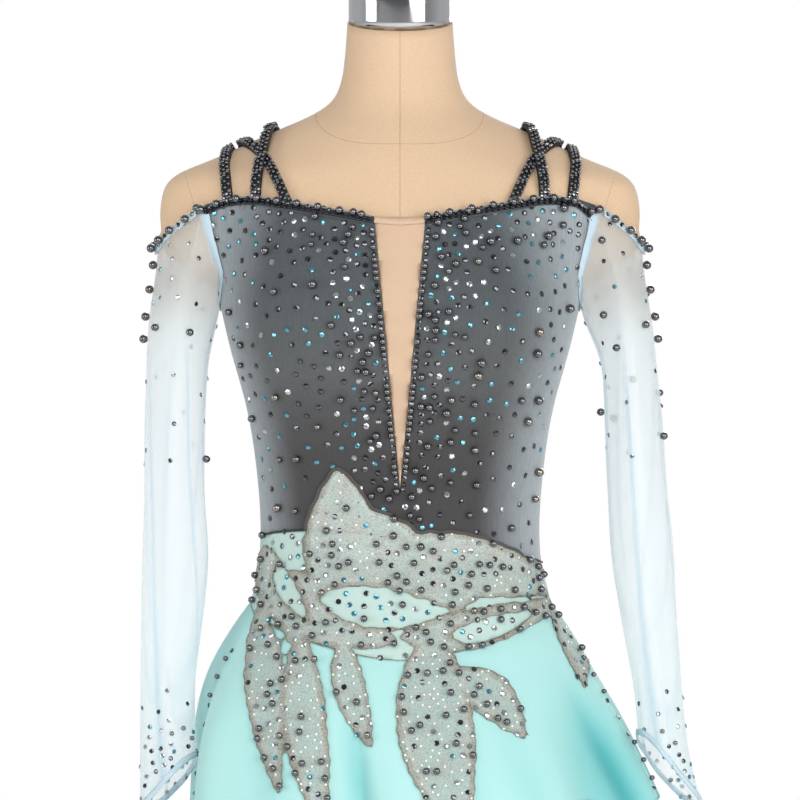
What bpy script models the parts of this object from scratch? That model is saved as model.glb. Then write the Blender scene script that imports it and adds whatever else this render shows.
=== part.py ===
# A skater dress on a limbless dress form.
# Metres, +Z up. The front faces -Y, the wearer's left is +X.
# The origin is the middle of the stand's underside.
import math
from bisect import bisect_right
from collections import namedtuple
from functools import lru_cache

import bmesh
import bpy
from mathutils import Matrix, Vector
from mathutils.geometry import delaunay_2d_cdt

# Cloth and gaps
FORM_GAP = 0.0008        # clear space between the form and the cloth on it
CLOTH = 0.0012           # thickness of every cloth wall
SEAM_GAP = 0.0003        # clear space between two pieces at a seam
TRIM = 0.0012            # thickness of a binding
TRIM_WIDTH = 0.006       # width of the neck and sleeve bindings
LACE_GAP = 0.0006        # clear space between the lace and the panel under it
LACE = 0.0010            # thickness of the lace
STRAP_WIDTH = 0.0085
STRAP_THICK = 0.0026

# The two skins of a panel, and of what lies on it, as heights above the form
PANEL = (FORM_GAP, FORM_GAP + CLOTH)
ON_PANEL = (PANEL[1] + SEAM_GAP, PANEL[1] + SEAM_GAP + TRIM)
LACE_SKINS = (PANEL[1] + LACE_GAP, PANEL[1] + LACE_GAP + LACE)

# Torso sections, from the hip to the neck. A section's corners are rounder as its power nears 2.
Trunk = namedtuple("Trunk", "height half_width front back power")
TRUNK = [
    Trunk(0.765, 0.140, 0.094, 0.112, 2.2),
    Trunk(0.800, 0.145, 0.098, 0.119, 2.2),
    Trunk(0.840, 0.144, 0.100, 0.121, 2.2),
    Trunk(0.880, 0.140, 0.100, 0.120, 2.2),
    Trunk(0.920, 0.134, 0.097, 0.114, 2.2),
    Trunk(0.950, 0.129, 0.094, 0.107, 2.2),
    Trunk(0.990, 0.1195, 0.089, 0.097, 2.2),
    Trunk(1.016, 0.1135, 0.083, 0.091, 2.2),
    Trunk(1.040, 0.1115, 0.080, 0.088, 2.2),
    Trunk(1.072, 0.1128, 0.083, 0.088, 2.25),
    Trunk(1.113, 0.1170, 0.089, 0.092, 2.3),
    Trunk(1.153, 0.1240, 0.096, 0.096, 2.35),
    Trunk(1.180, 0.1318, 0.100, 0.098, 2.35),
    Trunk(1.210, 0.1400, 0.103, 0.099, 2.35),
    Trunk(1.236, 0.1455, 0.103, 0.099, 2.35),
    Trunk(1.260, 0.1465, 0.101, 0.098, 2.3),
    Trunk(1.290, 0.1430, 0.095, 0.094, 2.3),
    Trunk(1.315, 0.1350, 0.086, 0.089, 2.2),
    Trunk(1.340, 0.1170, 0.075, 0.082, 2.1),
    Trunk(1.360, 0.0920, 0.065, 0.075, 2.0),
    Trunk(1.375, 0.0720, 0.056, 0.067, 2.0),
    Trunk(1.390, 0.0570, 0.049, 0.058, 2.0),
    Trunk(1.405, 0.0500, 0.0455, 0.052, 2.0),
    Trunk(1.425, 0.0455, 0.0435, 0.046, 2.0),
    Trunk(1.461, 0.0430, 0.0425, 0.0425, 2.0),
    Trunk(1.480, 0.0430, 0.0425, 0.0425, 2.0),
]

# Shoulder and short arm cap. side_power squares its outer end.
Shoulder = namedtuple("Shoulder", "height half_width front back side_power")
SHOULDER = [
    Shoulder(1.2380, 0.0900, 0.005, 0.005, 3.0),
    Shoulder(1.2450, 0.1460, 0.018, 0.018, 3.0),
    Shoulder(1.2520, 0.1640, 0.029, 0.029, 3.0),
    Shoulder(1.2600, 0.1780, 0.038, 0.038, 3.0),
    Shoulder(1.2680, 0.1870, 0.045, 0.045, 3.0),
    Shoulder(1.2780, 0.1935, 0.051, 0.052, 3.0),
    Shoulder(1.2950, 0.1985, 0.057, 0.058, 3.0),
    Shoulder(1.3114, 0.1990, 0.060, 0.061, 3.0),
    Shoulder(1.3235, 0.1965, 0.062, 0.063, 2.8),
    Shoulder(1.3316, 0.1925, 0.063, 0.064, 2.5),
    Shoulder(1.3381, 0.1850, 0.063, 0.065, 2.2),
    Shoulder(1.3429, 0.1750, 0.063, 0.065, 1.9),
    Shoulder(1.3478, 0.1590, 0.062, 0.065, 1.6),
    Shoulder(1.3559, 0.1390, 0.060, 0.064, 1.3),
    Shoulder(1.3640, 0.1240, 0.058, 0.062, 1.2),
    Shoulder(1.3721, 0.1050, 0.054, 0.058, 1.2),
    Shoulder(1.3802, 0.0820, 0.048, 0.052, 1.2),
    Shoulder(1.3900, 0.0590, 0.036, 0.040, 1.2),
    Shoulder(1.4000, 0.0350, 0.015, 0.018, 1.2),
]
SHOULDER_BLEND = 10      # higher is a sharper join of shoulder and trunk

BUST_OUT = 0.021
BUST_SIDE = 0.076        # from the middle to the fullest point
BUST_HEIGHT = 1.207
BUST_SPREAD_SIDE = 0.050
BUST_SPREAD_UP = 0.052
BUST_FADE = 0.4          # cosine of the angle where the bust has faded in from the side

NECK_TOP = 1.461         # height of the tilted neck top at the axis
NECK_TILT = math.radians(12)
NECK_TILT_FROM = 1.405   # rings lean into the tilt above this height
CAP_RADIUS = 0.0425
CAP_HEIGHT = 0.030

TORSO_FOOT = 0.765
POLE_RADIUS = 0.0125
BASE_RADIUS = 0.180
BASE_EDGE = 0.006
HUB_RADIUS = 0.030
HUB_TOP = 0.030
BASE_SIDES = 20

# Columns round the body, in degrees from the middle to the side, closer together at the arm.
QUARTER = (0, 12, 24, 36, 48, 59, 68, 75.5, 83, 90)

# Rows of the form: a stretch runs up to a height in so many steps.
Stretch = namedtuple("Stretch", "top steps")
FORM_STRETCHES = [
    Stretch(0.945, 4), Stretch(1.235, 11), Stretch(1.252, 2), Stretch(1.276, 2), Stretch(1.324, 3),
    Stretch(1.348, 3), Stretch(1.396, 4), Stretch(1.425, 2), Stretch(NECK_TOP, 1),
]

# Necklines: distance from the middle, and height
Edge = namedtuple("Edge", "side height")
NECK_FRONT = [
    Edge(0.0000, 1.2975), Edge(0.0210, 1.2992), Edge(0.0450, 1.3035), Edge(0.0800, 1.3095),
    Edge(0.0960, 1.3125), Edge(0.1100, 1.3158), Edge(0.1250, 1.3170), Edge(0.1400, 1.3155),
    Edge(0.1500, 1.3130), Edge(0.1580, 1.3102),
]
NECK_BACK = [
    Edge(0.0000, 1.2760), Edge(0.0500, 1.2800), Edge(0.0900, 1.2920), Edge(0.1250, 1.3040),
    Edge(0.1580, 1.3102),
]
# Armhole below its top corner, as degrees from the front and height
ArmEdge = namedtuple("ArmEdge", "angle height")
ARMHOLE = [
    ArmEdge(73.9, 1.2960), ArmEdge(73.8, 1.2780), ArmEdge(74.6, 1.2580), ArmEdge(79.0, 1.2385),
]
UNDERARM = 1.2305
V_CORNER = 0.0210        # half width of the V at the neck edge
V_TIP = 1.0805
INSERT_TIP = 0.0035      # the insert ends this far over the V's tip


# Seams all round: degrees from the front, and height
Seam = namedtuple("Seam", "angle height")
WAIST = [
    Seam(-180, 1.0300), Seam(-135, 1.0360), Seam(-90, 1.0416), Seam(-45, 1.0485), Seam(-22, 1.0457),
    Seam(0, 1.0425), Seam(12, 1.0340), Seam(42, 1.0287), Seam(65, 1.0258), Seam(90, 1.0195),
    Seam(135, 1.0250), Seam(180, 1.0300),
]
# The skirt seam: a shallow V in front, high at the sides
YOKE = [
    Seam(-180, 0.9550), Seam(-135, 0.9680), Seam(-110, 0.9830), Seam(-90, 0.9900), Seam(-78, 0.9815),
    Seam(-65, 0.9730), Seam(-50, 0.9643), Seam(-36, 0.9555), Seam(-25, 0.9500), Seam(0, 0.9440),
    Seam(25, 0.9500), Seam(36, 0.9555), Seam(50, 0.9643), Seam(65, 0.9730), Seam(78, 0.9815),
    Seam(90, 0.9900), Seam(110, 0.9830), Seam(135, 0.9680), Seam(180, 0.9550),
]

# How far the skirt stands out from its seam, at each depth below it: narrow on the wearer's right,
# full on the left.
Flare = namedtuple("Flare", "depth narrow full")
FLARE = [
    Flare(0.0000, 0.0000, 0.0000), Flare(0.0110, 0.0085, 0.0085), Flare(0.0280, 0.0195, 0.0195),
    Flare(0.0467, 0.0310, 0.0310), Flare(0.0723, 0.0420, 0.0435), Flare(0.0860, 0.0448, 0.0540),
    Flare(0.1040, 0.0465, 0.0645), Flare(0.1190, 0.0475, 0.0725), Flare(0.1485, 0.0485, 0.0855),
    Flare(0.1900, 0.0500, 0.0995), Flare(0.2300, 0.0520, 0.1100), Flare(0.2800, 0.0550, 0.1200),
]
# Fullness round the skirt: degrees from the front, share of the full profile, scale of the whole
Fullness = namedtuple("Fullness", "angle share scale")
FULLNESS = [
    Fullness(-180, 0.55, 0.95), Fullness(-120, 0.30, 0.98), Fullness(-90, 0.00, 1.00),
    Fullness(-50, 0.15, 0.85), Fullness(0, 0.45, 0.72), Fullness(45, 0.75, 0.85),
    Fullness(88, 1.00, 1.00), Fullness(130, 0.85, 0.95), Fullness(180, 0.55, 0.95),
]
# Folds of the outer skirt: degrees from the front, how far out (in, if negative) at full depth,
# half width in degrees, and the depths where the fold begins and is full.
Fold = namedtuple("Fold", "angle out half_width start full")
OUTER_FOLDS = [
    Fold(-14, -0.013, 8, 0.03, 0.17), Fold(18, 0.007, 15, 0.02, 0.16), Fold(41, 0.008, 12, 0.02, 0.16),
    Fold(61, -0.013, 8, 0.04, 0.14), Fold(82, 0.004, 10, 0.03, 0.12), Fold(103, 0.010, 7, 0.10, 0.18),
    Fold(-40, 0.008, 12, 0.02, 0.15), Fold(-62, 0.017, 10, 0.02, 0.11), Fold(-81, -0.010, 8, 0.01, 0.09),
    Fold(-100, 0.004, 8, 0.01, 0.08), Fold(-114, -0.011, 7, 0.02, 0.15), Fold(-129, 0.010, 9, 0.02, 0.16),
    Fold(-146, -0.009, 8, 0.03, 0.17), Fold(-162, 0.010, 9, 0.02, 0.16), Fold(178, -0.010, 8, 0.03, 0.18),
    Fold(160, 0.010, 9, 0.02, 0.16), Fold(143, -0.010, 8, 0.03, 0.16), Fold(125, 0.009, 9, 0.02, 0.15),
]
# Hem of the outer skirt
Hem = namedtuple("Hem", "angle height")
OUTER_HEM = [
    Hem(-180, 0.760), Hem(-140, 0.764), Hem(-100, 0.772), Hem(-62, 0.790), Hem(-20, 0.782), Hem(20, 0.793),
    Hem(45, 0.818), Hem(58, 0.833), Hem(70, 0.824), Hem(82, 0.830), Hem(92, 0.836), Hem(104, 0.822),
    Hem(125, 0.798), Hem(150, 0.774), Hem(180, 0.760),
]
UNDER_HEM = 0.730
UNDER_START = 0.014      # depth below the skirt seam where the under-skirt begins
UNDER_SHARE = 0.50       # where it hangs between the form and the outer skirt
UNDER_WAVE = 0.13
UNDER_WAVES = 6
SKIRT_ROWS = (0, 0.09, 0.21, 0.36, 0.55, 0.77, 1)
UNDER_ROWS = (0, 0.14, 0.32, 0.54, 0.77, 1)

# Top edge of a sleeve, from its outermost point round the front to the underarm: turn about the
# sleeve, degrees from the front of the form, height, and how far the cloth stands off the form.
# It stays clear of the armhole's own edge.
SleeveTop = namedtuple("SleeveTop", "turn angle height lift")
SLEEVE_TOP = [
    SleeveTop(0, 90.0, 1.2790, 0.0045), SleeveTop(22, 86.5, 1.2840, 0.0042),
    SleeveTop(42, 83.0, 1.2900, 0.0034), SleeveTop(62, 80.6, 1.2965, 0.0027),
    SleeveTop(82, 78.1, 1.3035, 0.0023), SleeveTop(100, 75.4, 1.3098, 0.0022),
    SleeveTop(118, 74.7, 1.2940, 0.0022), SleeveTop(136, 74.8, 1.2770, 0.0024),
    SleeveTop(152, 75.7, 1.2590, 0.0034), SleeveTop(166, 80.0, 1.2415, 0.0040),
    SleeveTop(180, 90.0, 1.2335, 0.0034),
]
# Outline of each hanging sleeve from the front, and its depth
Tube = namedtuple("Tube", "height inner outer half_depth middle")
SLEEVE_LEFT = [
    Tube(0.8150, 0.2010, 0.2480, 0.026, -0.046), Tube(0.8500, 0.1968, 0.2365, 0.026, -0.045),
    Tube(0.8800, 0.1932, 0.2300, 0.027, -0.042), Tube(0.9100, 0.1918, 0.2284, 0.028, -0.037),
    Tube(0.9510, 0.1845, 0.2272, 0.031, -0.026), Tube(0.9914, 0.1774, 0.2248, 0.034, -0.016),
    Tube(1.0240, 0.1725, 0.2228, 0.037, -0.009), Tube(1.0700, 0.1690, 0.2192, 0.041, -0.004),
    Tube(1.1170, 0.1682, 0.2160, 0.045, -0.001), Tube(1.1600, 0.1670, 0.2115, 0.049, 0.000),
    Tube(1.2000, 0.1640, 0.2078, 0.053, 0.000), Tube(1.2300, 0.1580, 0.2055, 0.056, 0.000),
    Tube(1.2700, 0.1560, 0.2042, 0.058, 0.000), Tube(1.3100, 0.1560, 0.2035, 0.060, 0.000),
]
SLEEVE_RIGHT = [
    Tube(0.8100, 0.1600, 0.2110, 0.026, -0.040), Tube(0.8400, 0.1615, 0.2108, 0.026, -0.039),
    Tube(0.8640, 0.1640, 0.2106, 0.026, -0.037), Tube(0.8940, 0.1672, 0.2106, 0.027, -0.034),
    Tube(0.9100, 0.1677, 0.2106, 0.028, -0.031), Tube(0.9430, 0.1655, 0.2106, 0.030, -0.024),
    Tube(0.9776, 0.1606, 0.2104, 0.033, -0.016), Tube(1.0100, 0.1562, 0.2102, 0.036, -0.010),
    Tube(1.0335, 0.1552, 0.2098, 0.038, -0.007), Tube(1.0862, 0.1604, 0.2090, 0.042, -0.002),
    Tube(1.1300, 0.1600, 0.2082, 0.046, 0.000), Tube(1.1800, 0.1575, 0.2070, 0.050, 0.000),
    Tube(1.2200, 0.1560, 0.2058, 0.054, 0.000), Tube(1.2700, 0.1550, 0.2042, 0.057, 0.000),
    Tube(1.3100, 0.1550, 0.2035, 0.060, 0.000),
]
# Slanted cuff: height of its middle, how much lower it is outside, how much higher it is in front
Cuff = namedtuple("Cuff", "middle outer_drop front_rise")
CUFF_LEFT = Cuff(0.8520, 0.0290, 0.0130)
CUFF_RIGHT = Cuff(0.8400, 0.0240, 0.0080)
# The sleeve's outline, its cuff, and the side it is on
SLEEVES = {"left": (SLEEVE_LEFT, CUFF_LEFT, 1), "right": (SLEEVE_RIGHT, CUFF_RIGHT, -1)}
SLEEVE_HALF = (0, 22, 42, 62, 82, 100, 118, 136, 152, 166, 180)   # columns, as degrees of turn
SLEEVE_ROWS = (0, 0.02, 0.05, 0.09, 0.14, 0.21, 0.33, 0.47, 0.62, 0.76, 0.89, 1)
SLEEVE_BLEND = 0.16      # share of the length over which the top edge turns into the hanging tube
# Soft folds down each sleeve: turn in degrees and how far the cloth goes in
Pleat = namedtuple("Pleat", "turn depth half_width")
SLEEVE_PLEATS = [
    Pleat(62, 0.0035, 13), Pleat(118, 0.0030, 13), Pleat(-80, 0.0035, 14), Pleat(-130, 0.0030, 13),
]
PLEAT_FROM = 0.12        # shares of the length where the folds begin and over which they grow
PLEAT_GROW = 0.20
LOOK_TURN = 4            # degrees and share over which the way a sleeve faces is measured
LOOK_SHARE = 0.008
CUFF_BAND = 0.005
CUFF_GAP = 0.0004
BINDING_TURN = 96        # the sleeve binding runs this far round, each way from the outermost point

# Straps: distance from the middle at the neckline, halfway up, on the ridge and at the back
Strap = namedtuple("Strap", "name front rise ridge back hump")
STRAPS = [
    Strap("outer", 0.1390, 0.1425, 0.1385, 0.1220, 0.0),
    Strap("middle", 0.0903, 0.1085, 0.1283, 0.1060, 0.0),
    Strap("inner", 0.1163, 0.1105, 0.1020, 0.0850, 0.0034),
]
STRAP_STATIONS = 15
STRAP_RISE_AT = 0.24     # share of the way where a strap is halfway up the front
STRAP_RIDGE_AT = 0.50    # share of the way where it passes over the shoulder
STRAP_HUB = 1.290        # height of the axis that the strap's way turns round
STRAP_REACH = 0.16
STRAP_GAP = 0.0012       # clear space under a strap
STRAP_INSET = 0.14       # share of the width by which each side leans in
STRAP_LOOK_ALONG = 0.02  # shares of the way, and distance, over which its direction is measured
STRAP_LOOK_ACROSS = 0.002
# The inner strap rises over the middle one and comes down: shares of the way
HUMP_RISE = 0.07
HUMP_END = 0.53
HUMP_FALL = 0.10
BINDING_OVER = 0.0006    # a binding stands this far past the cloth's edge
BINDING_SHORT = 0.0012   # and stops this far short of the armhole
INSERT_TRIM = 0.0045     # width of the insert's binding
STRAP_FOOT = 0.0006      # a strap ends this far above the neck binding

# Lace leaves, as seen from the front: both ends, width, and how far the middle bows to the side.
Leaf = namedtuple("Leaf", "from_x from_z to_x to_z width bow")
LACE_LEAVES = [
    # the band round the hips
    Leaf(-0.018, 1.030, 0.134, 1.000, 0.050, -0.004),
    Leaf(-0.080, 0.996, 0.066, 0.997, 0.056, 0.002),
    Leaf(-0.115, 1.010, -0.002, 0.958, 0.050, 0.004),
    Leaf(0.000, 0.962, 0.136, 0.992, 0.032, 0.006),
    Leaf(-0.111, 1.034, -0.078, 0.950, 0.034, 0.002),
    # the peak over the dark bodice
    Leaf(-0.046, 0.985, -0.050, 1.100, 0.064, 0.003),
    Leaf(0.018, 0.990, -0.036, 1.068, 0.048, 0.006),
    # tongues over the skirt
    Leaf(-0.108, 0.995, -0.096, 0.836, 0.032, 0.006),
    Leaf(-0.080, 0.965, -0.058, 0.806, 0.036, 0.006),
    Leaf(-0.046, 0.962, -0.022, 0.874, 0.027, 0.005),
    Leaf(0.024, 0.966, 0.052, 0.800, 0.062, 0.008),
    Leaf(0.044, 0.936, 0.100, 0.882, 0.034, -0.006),
    Leaf(0.122, 1.002, 0.150, 0.920, 0.024, -0.004),
]
LACE_WINDOWS = [
    Leaf(-0.064, 0.994, 0.040, 0.983, 0.032, 0.003),
    Leaf(0.040, 0.963, 0.108, 0.984, 0.018, 0.004),
    Leaf(-0.100, 1.020, -0.073, 0.976, 0.016, 0.002),
    Leaf(-0.104, 0.978, -0.086, 0.950, 0.006, 0.001),
]
LEAF_STEPS = 6           # corners along each side of a leaf
LACE_TOP = 1.110
SEAM_TURN = math.radians(6)   # steps in which a line is followed to the skirt seam
LACE_END = math.radians(87)   # the lace stops short of the sides

SNAP = 0.00005           # points of a flat panel nearer than this are one
CHART_RADIUS = 0.12      # turns an angle into a length where a panel is cut flat
SKIN_STEP = 0.002        # step used to find which way a surface faces


# Reading the tables

def table_value(rows, column, at):
    """A column's value between two rows, on a smooth curve that never overshoots them."""
    keys = [row[0] for row in rows]
    values = [getattr(row, column) for row in rows]
    if at <= keys[0]:
        return values[0]
    if at >= keys[-1]:
        return values[-1]
    slopes = [(b - a) / (k - j) for a, b, j, k in zip(values, values[1:], keys, keys[1:])]
    index = max(i for i, key in enumerate(keys) if key <= at)

    def tangent(i):
        if i in (0, len(keys) - 1):
            return slopes[min(i, len(slopes) - 1)]
        before, after = slopes[i - 1], slopes[i]
        if before * after <= 0:
            return 0.0
        return 2 * before * after / (before + after)

    width = keys[index + 1] - keys[index]
    t = (at - keys[index]) / width
    start = (1 + 2 * t) * (1 - t) ** 2 * values[index] + t * t * (3 - 2 * t) * values[index + 1]
    return start + width * (t * (1 - t) ** 2 * tangent(index) - t * t * (1 - t) * tangent(index + 1))


def smooth(value):
    """0 below 0, 1 above 1, and a soft rise between."""
    value = min(1.0, max(0.0, value))
    return value * value * (3 - 2 * value)


def bell(distance, half_width):
    return math.exp(-((distance / half_width) ** 2))


# The body

@lru_cache(maxsize=None)
def trunk_section(height):
    return [table_value(TRUNK, name, height) for name in Trunk._fields[1:]]


@lru_cache(maxsize=None)
def shoulder_section(height):
    return [table_value(SHOULDER, name, height) for name in Shoulder._fields[1:]]


def trunk_radius(angle, height):
    half_width, front, back, power = trunk_section(height)
    depth = front if math.cos(angle) > 0 else back
    total = abs(math.sin(angle) / half_width) ** power + abs(math.cos(angle) / depth) ** power
    return total ** (-1 / power)


def shoulder_radius(angle, height):
    """Where (x / half width) to the side power plus (y / depth) squared comes to one."""
    half_width, front, back, side_power = shoulder_section(height)
    side = abs(math.sin(angle)) / half_width
    deep = abs(math.cos(angle)) / (front if math.cos(angle) > 0 else back)
    low, high = 0.0, 1 / max(side, deep)
    for _ in range(24):
        middle = (low + high) / 2
        if (middle * side) ** side_power + (middle * deep) ** 2 < 1:
            low = middle
        else:
            high = middle
    return low


@lru_cache(maxsize=None)
def body_radius(angle, height):
    """Distance from the upright axis to the form's skin. Angle 0 is the front, 90 degrees the left."""
    radius = trunk_radius(angle, height)
    if SHOULDER[0].height < height < SHOULDER[-1].height:
        arm = shoulder_radius(angle, height)
        radius = (radius ** SHOULDER_BLEND + arm ** SHOULDER_BLEND) ** (1 / SHOULDER_BLEND)
    if math.cos(angle) > 0:
        side = abs(radius * math.sin(angle))
        swell = bell(side - BUST_SIDE, BUST_SPREAD_SIDE) * bell(height - BUST_HEIGHT, BUST_SPREAD_UP)
        radius += BUST_OUT * swell * smooth(math.cos(angle) / BUST_FADE)
    return radius


def angle_at(side, height):
    """The angle on the front at which the form's skin is this far from the middle plane."""
    low, high = 0.0, math.pi / 2
    for _ in range(28):
        middle = (low + high) / 2
        if body_radius(middle, height) * math.sin(middle) < side:
            low = middle
        else:
            high = middle
    return high


def skin_normal(radius, angle, height):
    """The way the surface that radius(angle, height) gives faces."""
    def at(a, h):
        r = radius(a, h)
        return Vector((r * math.sin(a), -r * math.cos(a), h))
    turn = SKIN_STEP / CHART_RADIUS
    across = at(angle + turn, height) - at(angle - turn, height)
    up = at(angle, height + SKIN_STEP) - at(angle, height - SKIN_STEP)
    return across.cross(up).normalized()


def on_skin(radius, angle, height, lift):
    """A point lifted off the surface that radius(angle, height) gives, square to that surface."""
    r = radius(angle, height)
    place = Vector((r * math.sin(angle), -r * math.cos(angle), height))
    return place + lift * skin_normal(radius, angle, height)


# The flat faces that the form and the cloth share, so that no piece cuts into the one below

def column_angles(finer=False):
    """Angles all round, the front first. The finer set has one more between each two."""
    quarter = [math.radians(value) for value in QUARTER]
    if finer:
        halves = [(a + b) / 2 for a, b in zip(quarter, quarter[1:])]
        quarter = sorted(quarter + halves)
    half = quarter + [math.pi - value for value in reversed(quarter[:-1])]
    return half + [-value for value in reversed(half[1:-1])]


@lru_cache(maxsize=None)
def columns_across(finer):
    """Every column from one whole turn below the front to one above."""
    return sorted(a + turn for turn in (-2 * math.pi, 0, 2 * math.pi) for a in column_angles(finer))


@lru_cache(maxsize=None)
def form_heights():
    heights = [TORSO_FOOT]
    for stretch in FORM_STRETCHES:
        start = heights[-1]
        heights += [start + (stretch.top - start) * (i + 1) / stretch.steps for i in range(stretch.steps)]
    return heights


def between(marks, at):
    """Which two of the sorted marks a value lies between, and how far along."""
    index = min(max(bisect_right(marks, at) - 1, 0), len(marks) - 2)
    return index, (at - marks[index]) / (marks[index + 1] - marks[index])


@lru_cache(maxsize=None)
def form_corner(angle, height):
    return on_skin(body_radius, angle, height, 0.0), skin_normal(body_radius, angle, height)


def in_cell(corners, f, g, lift):
    """A point of a cell cut in two from its lower left to its upper right corner.

    Each corner is a place and the way it faces; f runs across the cell and g up it."""
    low_left, low_right, high_left, high_right = corners
    if f > g:
        shares = ((low_left, 1 - f), (low_right, f - g), (high_right, g))
    else:
        shares = ((low_left, 1 - g), (high_left, g - f), (high_right, f))
    return sum(((place + lift * facing) * share for (place, facing), share in shares), Vector((0, 0, 0)))


def on_form(angle, height, lift):
    """A point lifted off the form's flat faces."""
    columns, rows = columns_across(False), form_heights()
    i, f = between(columns, angle)
    j, g = between(rows, height)
    corners = [form_corner(columns[i + m], rows[j + n]) for n in (0, 1) for m in (0, 1)]
    return in_cell(corners, f, g, lift)


# Seams and hems, as heights at an angle

def wrapped(degrees):
    return (degrees + 180) % 360 - 180


def along_columns(table, angle):
    """A seam's height, straight between the form's columns."""
    columns = columns_across(False)
    i, f = between(columns, angle)
    ends = [table_value(table, "height", wrapped(math.degrees(a))) for a in columns[i:i + 2]]
    return ends[0] + (ends[1] - ends[0]) * f


@lru_cache(maxsize=None)
def waist_seam(angle):
    return along_columns(WAIST, angle)


@lru_cache(maxsize=None)
def yoke_seam(angle):
    return along_columns(YOKE, angle)


@lru_cache(maxsize=None)
def outer_hem(angle):
    return table_value(OUTER_HEM, "height", wrapped(math.degrees(angle)))


@lru_cache(maxsize=None)
def outer_radius(angle, height):
    """The outer skirt's distance from the axis. Above its seam this is the form itself."""
    seam = yoke_seam(angle)
    if height >= seam:
        return body_radius(angle, height)
    depth = seam - height
    degrees = wrapped(math.degrees(angle))
    share = table_value(FULLNESS, "share", degrees)
    scale = table_value(FULLNESS, "scale", degrees)
    narrow = table_value(FLARE, "narrow", depth)
    out = scale * (narrow + share * (table_value(FLARE, "full", depth) - narrow))
    for fold in OUTER_FOLDS:
        grown = smooth((depth - fold.start) / (fold.full - fold.start))
        out += fold.out * grown * bell(wrapped(degrees - fold.angle), fold.half_width)
    return body_radius(angle, seam) + out


@lru_cache(maxsize=None)
def under_radius(angle, height):
    inside = body_radius(angle, max(height, TORSO_FOOT))
    grown = smooth((yoke_seam(angle) - height - 0.03) / 0.15)
    share = UNDER_SHARE + UNDER_WAVE * grown * math.cos(UNDER_WAVES * angle)
    return inside + share * (outer_radius(angle, height) - inside)


@lru_cache(maxsize=None)
def skirt_line(angle, share):
    """Height on the outer skirt at a share of the way from its seam to its hem."""
    seam = yoke_seam(angle)
    return seam + (outer_hem(angle) - seam) * share


@lru_cache(maxsize=None)
def skirt_corner(angle, share):
    height = skirt_line(angle, share)
    if share == 0:
        foot, tip = on_form(angle, height, 0.0), on_form(angle, height, 1.0)
        return foot, tip - foot
    return on_skin(outer_radius, angle, height, 0.0), skin_normal(outer_radius, angle, height)


def on_dress(angle, height, lift):
    """A point lifted off the flat faces of the outer skirt or, over its seam, of the form."""
    columns, rows = columns_across(True), SKIRT_ROWS[::-1]
    i, f = between(columns, angle)
    left, right = columns[i], columns[i + 1]
    lines = [skirt_line(left, share) * (1 - f) + skirt_line(right, share) * f for share in rows]
    if height >= lines[-1]:
        return on_form(angle, height, lift)
    j, g = between(lines, height)
    corners = [skirt_corner(a, rows[j + n]) for n in (0, 1) for a in (left, right)]
    return in_cell(corners, f, g, lift)


# Making solids

def new_object(name, shell, look):
    mesh = bpy.data.meshes.new(name)
    bmesh.ops.recalc_face_normals(shell, faces=shell.faces[:])
    if shell.calc_volume(signed=True) < 0:
        bmesh.ops.reverse_faces(shell, faces=shell.faces[:])
    shell.to_mesh(mesh)
    shell.free()
    mesh.shade_smooth()
    mesh.set_sharp_from_angle(angle=math.radians(50))
    mesh.materials.append(look)
    made = bpy.data.objects.new(name, mesh)
    bpy.context.scene.collection.objects.link(made)
    return made


def skin_rings(name, rings, look, closed=False):
    """A solid over rings of points. A closed one joins its last ring to its first, as a wall does."""
    shell = bmesh.new()
    loops = [[shell.verts.new(point) for point in ring] for ring in rings]
    pairs = list(zip(loops, loops[1:]))
    if closed:
        pairs.append((loops[-1], loops[0]))
    for low, high in pairs:
        for i in range(len(low)):
            j = (i + 1) % len(low)
            shell.faces.new((low[i], low[j], high[j]))
            shell.faces.new((low[i], high[j], high[i]))
    if not closed:
        shell.faces.new(loops[0])
        shell.faces.new(loops[-1])
    return new_object(name, shell, look)


def lay_panel(name, shapes, holes, lines, place, skins, look):
    """A cloth panel drawn flat as shapes less holes, creased along lines, then laid on a surface.

    Shapes, holes and lines are lists of angle and height. place(angle, height, lift) gives the point
    for a height over the surface, and the skins are two such heights.
    """
    points, creases, outlines = [], [], []
    for outline in shapes + holes:
        corners = [Vector((angle * CHART_RADIUS, height)) for angle, height in outline]
        ahead = corners[1:] + corners[:1]
        if sum(here.cross(after) for here, after in zip(corners, ahead)) < 0:
            corners.reverse()
        outlines.append(list(range(len(points), len(points) + len(corners))))
        points += corners
    for line in lines:
        start = len(points)
        points += [Vector((angle * CHART_RADIUS, height)) for angle, height in line]
        creases += [(i, i + 1) for i in range(start, len(points) - 1)]
    laid = delaunay_2d_cdt(points, creases, outlines, 1, SNAP)
    flat_points, triangles, inside = laid[0], laid[2], laid[5]
    flat = bmesh.new()
    corners = [flat.verts.new((point.x, point.y, 0)) for point in flat_points]
    for triangle, owners in zip(triangles, inside):
        if owners and max(owners) < len(shapes):
            flat.faces.new([corners[i] for i in triangle])
    bmesh.ops.delete(flat, geom=[vert for vert in flat.verts if not vert.link_faces], context="VERTS")
    raised = bmesh.ops.extrude_face_region(flat, geom=flat.faces[:])
    top = [item for item in raised["geom"] if isinstance(item, bmesh.types.BMVert)]
    bmesh.ops.translate(flat, verts=top, vec=(0, 0, 1))
    for vert in flat.verts:
        lift = skins[1] if vert.co.z > 0.5 else skins[0]
        vert.co = place(vert.co.x / CHART_RADIUS, vert.co.y, lift)
    return new_object(name, flat, look)


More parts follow.
